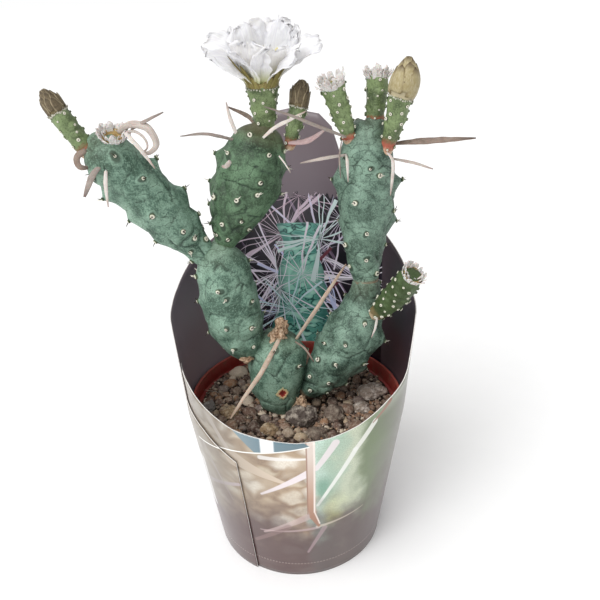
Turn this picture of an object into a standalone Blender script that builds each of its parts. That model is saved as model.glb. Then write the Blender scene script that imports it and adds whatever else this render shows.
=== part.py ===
"""Potted paper spine cactus: a round nursery pot in a printed card sleeve, filled with stony soil,
and a plant of six jointed stem segments with flower buds, spent flowers, one open flower and
flat papery spines.

Every number in the tables is in millimetres. Origin: centre of the pot's base, on the surface it
stands on; +Z up, +Y towards the tall tongue of the sleeve, +X to the right of someone facing it.
"""
import math

import bmesh
import bpy
from mathutils import Vector, noise

MM = 0.001
GAP = 0.3                     # clearance between pieces that touch
MERGE = 0.000001              # points closer than this, in metres, are one point

# ------------------------------------------------------------------ driving dimensions
POT_TOP_RADIUS = 51.8         # a 10.5 cm pot
POT_BASE_RADIUS = 36.5
POT_HEIGHT = 78.8
POT_WALL = 1.1
POT_FLOOR = 1.8
RIM_DEPTH = 8.8               # height of the wider band round the top
RIM_STEP = 1.2                # how far the band stands out from the wall
RIM_WALL = 1.3                # thickness of the band at its top
RIM_LEAN = 1.3                # how far the band's outside leans in towards its foot
LEDGE = 0.5                   # how far the band's inside leans in towards its foot
LEDGE_RISE = 0.8              # height of the step between the wall's inside and the band's
FOOT_BEVEL = 1.0              # how far the pot's bottom edge is taken in
FOOT_BEVEL_RISE = 1.5
POT_SIDES = 40
DRAIN_HOLES = 8
DRAIN_RADIUS = 3.5
DRAIN_CIRCLE = 24.0
DRAIN_TURN = 0.3              # bearing of the first hole, as a share of the pitch
DRAIN_SIDES = 10

SOIL_LEVEL = 71.6             # top of the soil at the pot's wall
SOIL_CROWN = [(0.0, 0.6), (20.0, 0.4), (40.0, 0.2)]   # radius, rise above that level
SOIL_EDGE_RISE = 0.2          # height of the soil's edge above the foot of the rim band
SOIL_FIT = 0.4                # clearance between the soil and the wall
SOIL_SIDES = 32

CARD = 0.45                   # thickness of the sleeve's card
SLEEVE_BASE_RADIUS = 41.3
SLEEVE_KNEE_RADIUS = 52.5     # where the sleeve passes the pot's rim
SLEEVE_KNEE = 79.0
SLEEVE_FLARE = 0.07           # radius gained per height above the rim
SLEEVE_ROWS = 6
KNEE_SHARE = 0.94             # the knee stays below this share of the card's height
LAP_FROM = 70.0               # sweep at which the card starts to move outwards over its inner end
LAP_SPAN = 260.0              # sweep over which it does so
LAP_STEP = CARD + 1.5 * GAP   # how far it moves outwards
COLUMN_STEP = 8.0             # widest column of the sleeve, in degrees
SEAM_START = -100.0           # bearing of the card's inner end, from +Y towards +X
# sweep from the inner end in degrees, height of the card there
SLEEVE_TOP = [
    (0, 104), (15, 102), (24, 99), (49, 92.5), (80, 90), (95, 91), (110, 93.5), (128, 98.5),
    (145, 101), (151, 103), (157, 119), (161, 127), (176, 130), (192, 140), (206, 148),
    (222, 152), (229, 160), (235, 183), (240, 197), (246, 203), (260, 205.5), (273, 203),
    (279, 198), (285, 184), (292, 158), (299, 148), (321, 140), (337, 132.5), (348, 129),
    (360, 127), (364, 118), (368, 88), (388, 83.5), (396, 80), (403, 77), (409, 74),
]
SEAM_END = SLEEVE_TOP[-1][0]

# ------------------------------------------------------------------ stem segments
SEGMENT_ROUNDNESS = 4         # bevel resolution of a segment
TUBE_ROUNDNESS = 2            # bevel resolution of a bud, fruit or flower tube
# each station is the centre (x, y, z) and the radius of the stem there
BASE_SEGMENT = [
    (-5.8, -3.0, 62.0, 2.0), (-6.2, -3.0, 69.5, 4.0), (-6.8, -3.0, 74.0, 7.2), (-8.2, -2.6, 80.0, 10.6),
    (-9.2, -1.8, 87.0, 12.8), (-8.7, 0.0, 96.0, 14.0), (-7.7, 1.0, 105.0, 13.0), (-6.6, 1.6, 110.5, 9.4),
    (-6.0, 2.0, 113.5, 4.0),
]
LEFT_LOWER = [
    (-20.5, 1.0, 101.0, 4.6), (-22.4, 0.8, 105.0, 7.8),
    (-25.0, 0.0, 112.0, 10.8), (-27.9, -1.0, 124.0, 13.1),
    (-29.7, -2.0, 136.8, 13.0), (-31.0, -3.0, 148.0, 12.0),
    (-32.0, -4.0, 156.0, 9.4), (-32.5, -4.0, 160.5, 5.6),
    (-32.7, -4.0, 162.2, 2.5),
]
LEFT_OUTER = [
    (-36.5, -4.0, 155.0, 5.4), (-41.9, -4.2, 161.2, 6.6),
    (-46.5, -5.2, 167.2, 8.8), (-52.4, -7.0, 176.0, 10.9),
    (-58.9, -9.0, 185.5, 11.2), (-65.5, -10.0, 194.0, 11.0), (-71.5, -12.0, 203.0, 10.6),
    (-74.5, -12.0, 208.0, 8.4), (-76.2, -12.0, 211.0, 4.2),
]
LEFT_INNER = [
    (-30.0, -3.0, 159.5, 4.2), (-27.8, -2.0, 165.5, 7.2),
    (-25.0, -1.0, 172.0, 10.3), (-21.6, 0.0, 179.8, 13.2),
    (-18.3, 2.0, 187.0, 14.4), (-15.8, 3.0, 194.0, 14.2),
    (-13.4, 5.0, 200.5, 12.8), (-11.2, 6.0, 206.5, 9.6),
    (-10.2, 6.0, 209.8, 5.0),
]
RIGHT_LOWER = [
    (4.0, -1.0, 81.0, 4.8), (9.7, -1.0, 86.5, 8.0), (16.7, -1.0, 95.7, 11.2), (23.5, 0.0, 105.2, 13.3),
    (28.6, 0.0, 115.2, 13.1), (31.6, 0.0, 125.4, 9.9), (32.8, 0.0, 133.0, 7.4), (33.3, 0.0, 139.6, 6.2),
]
RIGHT_UPPER = [
    (33.4, 0.0, 140.0, 5.9), (32.6, 1.0, 148.5, 7.7), (32.4, 2.0, 158.8, 9.6), (33.0, 3.0, 170.2, 11.8),
    (33.1, 4.0, 181.4, 12.8), (33.0, 5.0, 191.0, 12.2), (33.3, 5.0, 199.6, 11.2), (34.2, 5.0, 205.5, 8.8),
    (36.2, 5.6, 209.6, 5.4), (36.5, 6.0, 211.4, 4.2),
]

# ------------------------------------------------------------------ buds, fruit and spent flowers
OUTER_BUD = [
    (-79.0, -12.0, 204.5, 3.2), (-81.5, -12.0, 208.5, 3.6),
    (-84.4, -12.0, 213.7, 3.8), (-87.1, -13.0, 218.7, 3.9),
    (-89.5, -13.0, 223.3, 4.2), (-90.8, -13.3, 226.0, 4.2),
    (-92.0, -13.7, 228.4, 2.8), (-93.2, -14.0, 230.3, 0.8),
]
FLOWER_TUBE = [
    (-9.8, 6.0, 206.5, 3.8), (-9.8, 6.0, 210.0, 4.1), (-9.8, 6.0, 215.0, 4.8), (-9.8, 6.0, 221.3, 5.8),
    (-10.0, 6.0, 226.6, 6.6),
]
SMALL_BUD = [
    (0.2, 6.0, 200.5, 2.2), (2.1, 6.0, 207.8, 2.9), (3.5, 7.0, 213.0, 3.8), (4.9, 8.0, 218.5, 4.3),
    (5.5, 8.0, 222.5, 4.2), (6.3, 8.8, 225.8, 2.7), (6.6, 9.0, 227.7, 0.8),
]
LEFT_SPENT_TUBE = [
    (25.9, 1.4, 203.8, 2.5), (24.6, 1.0, 207.6, 2.9), (23.1, 0.0, 212.3, 3.7), (20.6, -1.0, 219.8, 4.3),
    (18.4, -2.0, 227.0, 4.9),
]
RIGHT_SPENT_TUBE = [
    (36.5, 6.0, 210.5, 3.6), (36.6, 6.0, 216.8, 3.9), (37.0, 7.0, 222.3, 4.3), (37.1, 7.5, 228.4, 4.6),
]
LARGE_BUD = [
    (40.2, -1.4, 199.6, 2.8), (41.4, -2.0, 204.2, 3.1), (42.6, -3.0, 208.8, 3.7), (43.8, -4.0, 214.7, 4.2),
    (44.7, -5.0, 220.6, 4.9), (45.9, -5.0, 224.6, 6.6), (46.9, -6.0, 229.2, 6.2), (47.4, -6.0, 233.6, 3.7),
    (47.6, -6.0, 237.6, 0.9),
]
SIDE_FRUIT = [
    (36.8, -6.5, 126.0, 3.4), (40.2, -9.0, 130.0, 4.3), (43.8, -12.0, 135.8, 5.4), (46.9, -15.0, 141.6, 5.6),
    (49.5, -18.0, 147.4, 5.2), (50.8, -19.6, 150.6, 4.6),
]
CROWN_WALL = 1.0              # thickness of a dried flower's cup
CROWN_SIDES = 12
# dried flower remains: centre of the foot, direction, foot radius, mouth radius, height
DRY_CROWNS = {
    "left_dry_crown": ((18.2, -2.1, 227.5), (-2.2, -1.0, 7.2), 4.7, 5.4, 3.4),
    "right_dry_crown": ((37.1, 7.5, 228.9), (0.1, 0.5, 6.1), 4.6, 5.7, 3.6),
    "side_dry_crown": ((51.1, -20.0, 151.2), (1.3, -1.6, 3.2), 4.4, 4.9, 3.0),
    "outer_dry_crown": ((-68.4, -14.4, 212.4), (0.6, -2.6, 6.4), 4.4, 5.4, 3.8),
}

# ------------------------------------------------------------------ open flower
FLOWER_AXIS = (-10.0, 6.0)    # the flower opens straight up from here
FLOWER_BASE = 227.2
PETAL = 0.4                   # thickness of every petal and tepal
PETAL_CUP = 0.12              # rise of a petal's edges, as a share of its half width
# a petal's width swells along it as a sine: where on the sine the root lies, how much of the
# sine the petal spans, and the power that flattens the swell
SWELL_START = 0.04
SWELL_SPAN = 0.93
SWELL_POWER = 0.8
# each whorl: count, first bearing in degrees, then (radius, height above the base) of the root,
# the bend and the tip, and the widths at the root and at the widest place
WHORLS = {
    "tepal": (5, 20.0, (6.0, 0.6), (8.0, 4.4), (10.8, 8.6), 4.2, 5.4),
    "outer_petal": (6, 0.0, (4.5, 1.2), (7.0, 12.8), (22.6, 12.6), 3.0, 15.0),
    "inner_petal": (6, 30.0, (3.0, 1.2), (4.2, 12.8), (14.6, 24.2), 2.0, 11.0),
}
FLOWER_FLOOR = 0.4            # height of the stamens' and the style's foot above the flower's base
STAMEN_RING = (1.5, 2.2, 2.4, 3.3, 9.0)   # inner and outer radius below, inner and outer above, height
STAMEN_SIDES = 12
STYLE_RADIUS = 0.6
STYLE_HEIGHT = 13.0
STYLE_SIDES = 8
STIGMA_RADIUS = 1.2
STIGMA_HEIGHT = 2.0           # length of the stigma, from the thin style up
STIGMA_EDGE = 0.6             # height of its sloping upper edge

# ------------------------------------------------------------------ paper spines
BLADE = 0.4                   # thickness of a paper spine
BLADE_ROWS = 3                # rows of faces between two of the points it runs through
PROBE = 0.02                  # share of a spine's length used to find its direction
# host segment, widths at root, middle and tip, way the flat side faces, then the points it runs through
PAPER_SPINES = [
    ("base_segment", (3.8, 4.2, 1.6), (0.1, -0.8, 0.6),
     [(-7.2, -6.0, 113.5), (-15.0, -19.0, 104.8), (-22.6, -30.0, 98.7), (-29.0, -38.0, 92.5)]),
    ("base_segment", (2.6, 3.2, 1.6), (0.1, -0.9, 0.3),
     [(0.6, -3.0, 111.5), (9.8, -7.0, 128.4), (16.8, -11.5, 142.5), (23.0, -16.0, 155.3)]),
    ("left_inner_segment", (2.0, 3.2, 1.2), (0.0, -0.8, 0.6),
     [(-11.0, -3.0, 206.6), (-5.1, -5.0, 211.8), (1.5, -6.0, 215.1), (7.5, -7.0, 218.3)]),
    ("left_inner_segment", (1.3, 1.6, 0.8), (0.0, -0.9, 0.4),
     [(-21.5, 0.5, 205.6), (-33.3, -4.0, 209.6), (-43.6, -6.0, 209.5)]),
    ("left_inner_segment", (1.8, 3.2, 1.2), (0.3, -1.0, 0.0),
     [(-21.0, 1.5, 206.8), (-23.7, 3.0, 214.2), (-25.1, 5.0, 220.3)]),
    ("right_upper_segment", (1.8, 2.4, 1.0), (0.0, -0.8, 0.6),
     [(23.8, -3.5, 206.6), (11.0, -8.0, 212.9), (1.2, -10.0, 217.5), (-8.9, -11.0, 221.3)]),
    ("right_upper_segment", (1.7, 3.7, 1.0), (0.0, -0.7, 0.7),
     [(43.4, 2.0, 202.0), (54.2, -1.0, 203.6), (66.3, -4.0, 204.7), (76.7, -5.0, 205.1)]),
    ("right_upper_segment", (1.7, 2.5, 1.2), (0.0, -0.8, 0.6),
     [(43.0, 1.0, 196.0), (52.6, -3.0, 194.8), (59.9, -5.0, 192.6)]),
    ("right_upper_segment", (1.8, 2.8, 1.0), (0.4, -0.9, 0.1),
     [(40.4, -3.0, 200.6), (42.6, -9.0, 197.6), (42.2, -11.5, 190.4)]),
    ("right_upper_segment", (2.0, 2.4, 1.0), (0.0, -0.8, 0.6),
     [(24.6, -3.0, 199.2), (14.9, -8.0, 199.4), (4.6, -10.0, 198.1)]),
    ("left_outer_segment", (2.0, 3.5, 1.6), (0.1, -1.0, 0.2),
     [(-62.6, -14.6, 212.4), (-58.0, -18.0, 217.8), (-52.6, -18.6, 216.4), (-50.9, -19.0, 209.6)]),
    ("left_outer_segment", (1.6, 2.6, 2.0), (-0.2, -0.9, 0.2),
     [(-73.2, -21.2, 203.0), (-75.9, -26.0, 199.7), (-78.8, -30.0, 192.9)]),
    ("left_outer_segment", (1.8, 2.4, 0.8), (0.2, -0.9, 0.1),
     [(-71.2, -21.6, 201.0), (-70.9, -26.5, 195.9), (-70.2, -30.0, 188.5)]),
]

# ------------------------------------------------------------------ stones lying in the soil
STONE_ROUGHNESS = 0.16        # share by which a stone's surface swells and sinks
STONE_LUMPS = 1.3             # lumps over the width of a stone
STONE_SEED = 3.1              # spreads the stones over the noise, so that no two are alike
# centre, half sizes
STONES = [
    ((2.8, -13.6, 74.2), (6.0, 5.2, 4.8)), ((17.8, -11.2, 73.2), (5.0, 4.6, 4.0)),
    ((-13.2, -21.4, 72.6), (3.8, 3.6, 3.2)), ((37.6, 7.0, 73.4), (7.4, 4.6, 4.2)),
    ((-43.8, -2.4, 72.8), (3.4, 3.8, 3.4)), ((-32.8, -7.4, 72.6), (4.2, 4.0, 3.4)),
    ((31.6, -6.0, 72.6), (4.2, 3.6, 3.2)), ((9.8, -25.6, 72.4), (4.6, 4.2, 3.6)),
]

# ------------------------------------------------------------------ colours: base colour, roughness
FINISHES = {
    "terracotta_plastic": ((0.30, 0.055, 0.045), 0.45),
    "printed_card": ((0.42, 0.36, 0.33), 0.35),
    "soil": ((0.12, 0.085, 0.06), 0.95),
    "stone": ((0.30, 0.25, 0.20), 0.9),
    "stem_skin": ((0.13, 0.27, 0.19), 0.6),
    "tube_skin": ((0.18, 0.29, 0.11), 0.55),
    "dry_flower": ((0.62, 0.55, 0.50), 0.9),
    "tepal": ((0.33, 0.30, 0.13), 0.6),
    "petal": ((0.88, 0.87, 0.86), 0.5),
    "stamen": ((0.75, 0.68, 0.25), 0.6),
    "paper_spine": ((0.60, 0.56, 0.51), 0.8),
}


def clear_scene():
    for thing in list(bpy.data.objects):
        bpy.data.objects.remove(thing, do_unlink=True)


def make_collection(name):
    group = bpy.data.collections.new(name)
    bpy.context.scene.collection.children.link(group)
    return group


def make_finish(name):
    colour, roughness = FINISHES[name]
    finish = bpy.data.materials.new(name)
    finish.use_nodes = True
    shader = finish.node_tree.nodes["Principled BSDF"]
    shader.inputs["Base Color"].default_value = (*colour, 1.0)
    shader.inputs["Roughness"].default_value = roughness
    shader.inputs["Metallic"].default_value = 0.0
    return finish


def scaled(point):
    return Vector(point) * MM


def add_piece(name, mesh, finish):
    """Put a mesh into the plant's collection as one named piece."""
    piece = bpy.data.objects.new(name, mesh)
    if not mesh.materials:
        mesh.materials.append(MATERIALS[finish])
    PLANT.objects.link(piece)
    return piece


def add_cutter(name, mesh):
    cutter = bpy.data.objects.new(name, mesh)
    cutter.hide_render = True
    cutter.display_type = "WIRE"
    CUTTERS.objects.link(cutter)
    return cutter


def cut(piece, cutter):
    """Take the cutter out of the piece."""
    boolean = piece.modifiers.new("cut_" + cutter.name, "BOOLEAN")
    boolean.operation = "DIFFERENCE"
    boolean.solver = "EXACT"
    boolean.object = cutter


def shade_round(mesh, angle=50.0):
    mesh.shade_smooth()
    mesh.set_sharp_from_angle(angle=math.radians(angle))


# ------------------------------------------------------------------ shape makers
def turned_piece(name, profile, sides, finish):
    """A solid of revolution about Z from an outline of (radius, height) points."""
    mesh = bpy.data.meshes.new(name)
    outline = bmesh.new()
    points = [outline.verts.new(scaled((radius, 0.0, height))) for radius, height in profile]
    for first, second in zip(points, points[1:]):
        outline.edges.new((first, second))
    if profile[0][0] > 0.0:
        outline.edges.new((points[-1], points[0]))
    outline.to_mesh(mesh)
    outline.free()
    piece = add_piece(name, mesh, finish)
    screw = piece.modifiers.new("turn", "SCREW")
    screw.axis = "Z"
    screw.angle = math.tau
    screw.steps = sides
    screw.render_steps = sides
    screw.use_merge_vertices = True
    screw.merge_threshold = 10.0 * MERGE
    screw.use_smooth_shade = True
    return piece


def limb_mesh(name, stations, grow, side_resolution):
    """Mesh of a round stem that runs smoothly through the stations, made larger by grow."""
    spots = [Vector(station[:3]) for station in stations]
    spots[0] -= (spots[1] - spots[0]).normalized() * grow
    spots[-1] += (spots[-1] - spots[-2]).normalized() * grow
    curve = bpy.data.curves.new(name, "CURVE")
    curve.dimensions = "3D"
    curve.bevel_depth = MM
    curve.bevel_resolution = side_resolution
    curve.resolution_u = 2
    curve.use_fill_caps = True
    spline = curve.splines.new("BEZIER")
    spline.bezier_points.add(len(stations) - 1)
    spline.radius_interpolation = "CARDINAL"
    for knot, spot, station in zip(spline.bezier_points, spots, stations):
        knot.co = spot * MM
        knot.radius = station[3] + grow
        knot.handle_left_type = "AUTO"
        knot.handle_right_type = "AUTO"
    guide = bpy.data.objects.new(name, curve)
    CUTTERS.objects.link(guide)
    bpy.context.view_layer.update()
    seen = guide.evaluated_get(bpy.context.evaluated_depsgraph_get())
    mesh = bpy.data.meshes.new_from_object(seen)
    bpy.data.objects.remove(guide)
    skin = bmesh.new()
    skin.from_mesh(mesh)
    bmesh.ops.remove_doubles(skin, verts=skin.verts, dist=MERGE)
    bmesh.ops.recalc_face_normals(skin, faces=skin.faces)
    skin.to_mesh(mesh)
    skin.free()
    shade_round(mesh)
    return mesh


def limb(name, stations, finish, side_resolution, hosts):
    """One stem or bud, hollowed where it meets each of its hosts."""
    piece = add_piece(name, limb_mesh(name, stations, 0.0, side_resolution), finish)
    for host in hosts:
        cut(piece, grown_copy(host))
    return piece


def grown_copy(name):
    """Cutter of a limb, one clearance larger than the limb itself."""
    label = "around_" + name
    if label in bpy.data.objects:
        return bpy.data.objects[label]
    stations, side_resolution = LIMBS[name]
    return add_cutter(label, limb_mesh(label, stations, GAP, side_resolution))


def sheet_piece(name, columns, rows, place, thickness, finish):
    """A thin sheet: place(u, v) gives the point for each corner of a grid that spans 0 to 1."""
    mesh = bpy.data.meshes.new(name)
    grid = bmesh.new()
    bmesh.ops.create_grid(grid, x_segments=columns, y_segments=rows, size=0.5)
    for corner in grid.verts:
        corner.co = scaled(place(corner.co.x + 0.5, corner.co.y + 0.5))
    grid.to_mesh(mesh)
    grid.free()
    shade_round(mesh)
    piece = add_piece(name, mesh, finish)
    solid = piece.modifiers.new("thickness", "SOLIDIFY")
    solid.thickness = thickness * MM
    solid.offset = 0.0
    return piece


def through(points, t):
    """Point at t, from 0 to 1, on a smooth curve through the points."""
    spots = [Vector(point) for point in points]
    spots.insert(0, spots[0] * 2.0 - spots[1])
    spots.append(spots[-1] * 2.0 - spots[-2])
    place = min(t, 0.9999) * (len(points) - 1)
    start = int(place)
    f = place - start
    a, b, c, d = spots[start:start + 4]
    return 0.5 * (2.0 * b + (c - a) * f + (2.0 * a - 5.0 * b + 4.0 * c - d) * f * f
                  + (3.0 * b - a - 3.0 * c + d) * f * f * f)


def bend(root, middle, tip, t):
    """Point at t on the parabola from root to tip that leans towards middle."""
    return [(1 - t) ** 2 * a + 2 * t * (1 - t) * b + t * t * c for a, b, c in zip(root, middle, tip)]


# ------------------------------------------------------------------ pot, sleeve, soil
def pot_wall_radius(height):
    """Outer radius of the pot's wall below its rim band."""
    shoulder = POT_HEIGHT - RIM_DEPTH
    top = POT_TOP_RADIUS - RIM_LEAN - RIM_STEP
    return POT_BASE_RADIUS + (top - POT_BASE_RADIUS) * height / shoulder


def make_pot():
    shoulder = POT_HEIGHT - RIM_DEPTH
    inside_top = POT_TOP_RADIUS - RIM_WALL
    profile = [
        (0.0, POT_FLOOR),
        (pot_wall_radius(POT_FLOOR) - POT_WALL, POT_FLOOR),
        (pot_wall_radius(shoulder) - POT_WALL, shoulder + POT_WALL),
        (inside_top - LEDGE, shoulder + POT_WALL + LEDGE_RISE),
        (inside_top, POT_HEIGHT),
        (POT_TOP_RADIUS, POT_HEIGHT),
        (POT_TOP_RADIUS - RIM_LEAN, shoulder),
        (pot_wall_radius(shoulder), shoulder),
        (pot_wall_radius(FOOT_BEVEL_RISE), FOOT_BEVEL_RISE),
        (POT_BASE_RADIUS - FOOT_BEVEL, 0.0),
        (0.0, 0.0),
    ]
    pot = turned_piece("pot", profile, POT_SIDES, "terracotta_plastic")
    for index in range(DRAIN_HOLES):
        angle = math.tau * (index + DRAIN_TURN) / DRAIN_HOLES
        mesh = bpy.data.meshes.new("drain_hole")
        punch = bmesh.new()
        bmesh.ops.create_cone(punch, cap_ends=True, segments=DRAIN_SIDES, radius1=DRAIN_RADIUS * MM,
                              radius2=DRAIN_RADIUS * MM, depth=3.0 * POT_FLOOR * MM)
        punch.to_mesh(mesh)
        punch.free()
        hole = add_cutter(f"drain_hole_{index + 1}", mesh)
        place = (DRAIN_CIRCLE * math.cos(angle), DRAIN_CIRCLE * math.sin(angle), POT_FLOOR / 2)
        hole.location = scaled(place)
        cut(pot, hole)


def sleeve_radius(height, sweep):
    """Radius of the middle of the card; the outer end lies over the inner end."""
    if height < SLEEVE_KNEE:
        share = height / SLEEVE_KNEE
        radius = SLEEVE_BASE_RADIUS + (SLEEVE_KNEE_RADIUS - SLEEVE_BASE_RADIUS) * share
    else:
        radius = SLEEVE_KNEE_RADIUS + SLEEVE_FLARE * (height - SLEEVE_KNEE)
    lap = min(max((sweep - LAP_FROM) / LAP_SPAN, 0.0), 1.0)
    return radius + lap * LAP_STEP


def sleeve_columns():
    """Sweep and top height of every column of the card, with each corner on a column."""
    columns = [SLEEVE_TOP[0]]
    for (start, low), (end, high) in zip(SLEEVE_TOP, SLEEVE_TOP[1:]):
        steps = math.ceil((end - start) / COLUMN_STEP)
        for step in range(1, steps + 1):
            share = step / steps
            columns.append((start + (end - start) * share, low + (high - low) * share))
    return columns


def make_sleeve():
    columns = sleeve_columns()

    def place(u, v):
        sweep, top = columns[round(u * (len(columns) - 1))]
        knee = min(SLEEVE_KNEE, KNEE_SHARE * top)
        below = SLEEVE_ROWS // 2
        row = v * SLEEVE_ROWS
        height = knee * row / below if row <= below else knee + (top - knee) * (row - below) / below
        bearing = math.radians(SEAM_START - sweep)
        radius = sleeve_radius(height, sweep)
        return radius * math.sin(bearing), radius * math.cos(bearing), height

    sheet_piece("card_sleeve", len(columns) - 1, SLEEVE_ROWS, place, CARD, "printed_card")


def stone_mesh(name, half_sizes, grow):
    mesh = bpy.data.meshes.new(name)
    lump = bmesh.new()
    bmesh.ops.create_icosphere(lump, subdivisions=2, radius=1.0)
    seed = Vector(half_sizes) * STONE_SEED
    for corner in lump.verts:
        swell = 1.0 + STONE_ROUGHNESS * noise.noise(corner.co * STONE_LUMPS + seed)
        corner.co = Vector([c * (half * swell + grow) for c, half in zip(corner.co, half_sizes)]) * MM
    lump.to_mesh(mesh)
    lump.free()
    return mesh


def make_soil_and_stones():
    low = POT_FLOOR + GAP
    fit = POT_WALL + SOIL_FIT
    wall_top = POT_HEIGHT - RIM_DEPTH
    profile = [(radius, SOIL_LEVEL + rise) for radius, rise in SOIL_CROWN]
    profile += [
        (pot_wall_radius(wall_top) - fit, wall_top + SOIL_EDGE_RISE),
        (pot_wall_radius(low) - fit, low),
        (0.0, low),
    ]
    soil = turned_piece("soil", profile, SOIL_SIDES, "soil")
    cut(soil, grown_copy("base_segment"))
    for index, (centre, half_sizes) in enumerate(STONES, 1):
        name = f"stone_{index}"
        stone = add_piece(name, stone_mesh(name, half_sizes, 0.0), "stone")
        stone.location = scaled(centre)
        hollow = add_cutter("around_" + name, stone_mesh("around_" + name, half_sizes, GAP))
        hollow.location = scaled(centre)
        cut(soil, hollow)


# ------------------------------------------------------------------ plant
LIMBS = {
    "base_segment": (BASE_SEGMENT, SEGMENT_ROUNDNESS),
    "left_lower_segment": (LEFT_LOWER, SEGMENT_ROUNDNESS),
    "left_outer_segment": (LEFT_OUTER, SEGMENT_ROUNDNESS),
    "left_inner_segment": (LEFT_INNER, SEGMENT_ROUNDNESS),
    "right_lower_segment": (RIGHT_LOWER, SEGMENT_ROUNDNESS),
    "right_upper_segment": (RIGHT_UPPER, SEGMENT_ROUNDNESS),
    "outer_bud": (OUTER_BUD, TUBE_ROUNDNESS),
    "flower_tube": (FLOWER_TUBE, TUBE_ROUNDNESS),
    "small_bud": (SMALL_BUD, TUBE_ROUNDNESS),
    "left_spent_tube": (LEFT_SPENT_TUBE, TUBE_ROUNDNESS),
    "right_spent_tube": (RIGHT_SPENT_TUBE, TUBE_ROUNDNESS),
    "large_bud": (LARGE_BUD, TUBE_ROUNDNESS),
    "side_fruit": (SIDE_FRUIT, TUBE_ROUNDNESS),
}
# the pieces that each limb grows from or lies against
HOSTS = {
    "left_lower_segment": ["base_segment"],
    "left_outer_segment": ["left_lower_segment"],
    "left_inner_segment": ["left_lower_segment", "left_outer_segment"],
    "right_lower_segment": ["base_segment"],
    "right_upper_segment": ["right_lower_segment"],
    "outer_bud": ["left_outer_segment"],
    "flower_tube": ["left_inner_segment"],
    "small_bud": ["left_inner_segment", "flower_tube"],
    "left_spent_tube": ["right_upper_segment"],
    "right_spent_tube": ["right_upper_segment"],
    "large_bud": ["right_upper_segment", "right_spent_tube"],
    "side_fruit": ["right_lower_segment"],
}


def limb_finish(name):
    return "stem_skin" if name.endswith("segment") else "tube_skin"


def make_limbs():
    for name, (stations, side_resolution) in LIMBS.items():
        limb(name, stations, limb_finish(name), side_resolution, HOSTS.get(name, []))


def make_dry_crowns():
    """Ragged cups left where flowers have withered."""
    for name, (foot, direction, low, high, height) in DRY_CROWNS.items():
        profile = [(low - CROWN_WALL, 0.0), (high - CROWN_WALL, height), (high, height), (low, 0.0)]
        crown = turned_piece(name, profile, CROWN_SIDES, "dry_flower")
        crown.location = scaled(foot)
        crown.rotation_mode = "QUATERNION"
        crown.rotation_quaternion = Vector(direction).to_track_quat("Z", "Y")
        if name == "outer_dry_crown":
            cut(crown, grown_copy("left_outer_segment"))


def make_whorl(kind):
    count, first, root, middle, tip, root_width, full_width = WHORLS[kind]
    for index in range(count):
        bearing = math.radians(first + 360.0 * index / count)
        outward = Vector((math.cos(bearing), math.sin(bearing), 0.0))
        across = Vector((-outward.y, outward.x, 0.0))

        def place(u, v):
            radius, height = bend(root, middle, tip, v)
            swell = math.sin(math.pi * min(v * SWELL_SPAN + SWELL_START, 1.0)) ** SWELL_POWER
            half = 0.5 * (root_width * (1.0 - v) + (full_width - root_width * (1.0 - v)) * swell)
            half = min(half, radius * math.tan(math.pi / count) - PETAL - GAP / 2)
            side = 2.0 * u - 1.0
            lift = PETAL_CUP * half * side * side
            spot = outward * radius + across * side * half + Vector((0.0, 0.0, height + lift))
            return spot + Vector((*FLOWER_AXIS, FLOWER_BASE))

        finish = "tepal" if kind == "tepal" else "petal"
        sheet_piece(f"{kind}_{index + 1}", 3, 4, place, PETAL, finish)


def make_flower():
    for kind in WHORLS:
        make_whorl(kind)
    inner_low, outer_low, inner_high, outer_high, height = STAMEN_RING
    ring = [(inner_low, FLOWER_FLOOR), (inner_high, height), (outer_high, height), (outer_low, FLOWER_FLOOR)]
    stamens = turned_piece("stamens", ring, STAMEN_SIDES, "stamen")
    column = [
        (0.0, STYLE_HEIGHT),
        (STIGMA_RADIUS, STYLE_HEIGHT - STIGMA_EDGE),
        (STYLE_RADIUS, STYLE_HEIGHT - STIGMA_HEIGHT),
        (STYLE_RADIUS, FLOWER_FLOOR),
        (0.0, FLOWER_FLOOR),
    ]
    style = turned_piece("style", column, STYLE_SIDES, "stamen")
    for piece in (stamens, style):
        piece.location = scaled((*FLOWER_AXIS, FLOWER_BASE))


def make_paper_spines():
    for index, (host, widths, facing, points) in enumerate(PAPER_SPINES, 1):

        def place(u, v):
            ahead = through(points, min(v + PROBE, 1.0))
            behind = through(points, max(v - PROBE, 0.0))
            across = (ahead - behind).cross(Vector(facing)).normalized()
            middle = 2.0 * widths[1] - 0.5 * (widths[0] + widths[2])
            width = bend([widths[0]], [middle], [widths[2]], v)[0]
            return through(points, v) + across * (u - 0.5) * width

        rows = BLADE_ROWS * (len(points) - 1)
        spine = sheet_piece(f"paper_spine_{index}", 1, rows, place, BLADE, "paper_spine")
        cut(spine, grown_copy(host))
        if host == "right_upper_segment":
            cut(spine, grown_copy("large_bud"))


clear_scene()
PLANT = make_collection("potted_paper_spine_cactus")
CUTTERS = make_collection("cutters")
MATERIALS = {name: make_finish(name) for name in FINISHES}
make_pot()
make_sleeve()
make_soil_and_stones()
make_limbs()
make_dry_crowns()
make_flower()
make_paper_spines()
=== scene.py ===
"""Looks of the potted paper spine cactus: pot in its card sleeve, stony soil, jointed stem, buds,
spent flowers, the open flower and the papery spines, laid out as an add-on.

Tables are in millimetres unless they say otherwise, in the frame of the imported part: origin at the
centre of the pot's base, +Z up, +Y away from someone facing the plant, +X to their right.
"""
import math
import random

import bmesh
import bpy
import numpy as np
from mathutils import Euler, Matrix, Vector, noise


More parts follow.
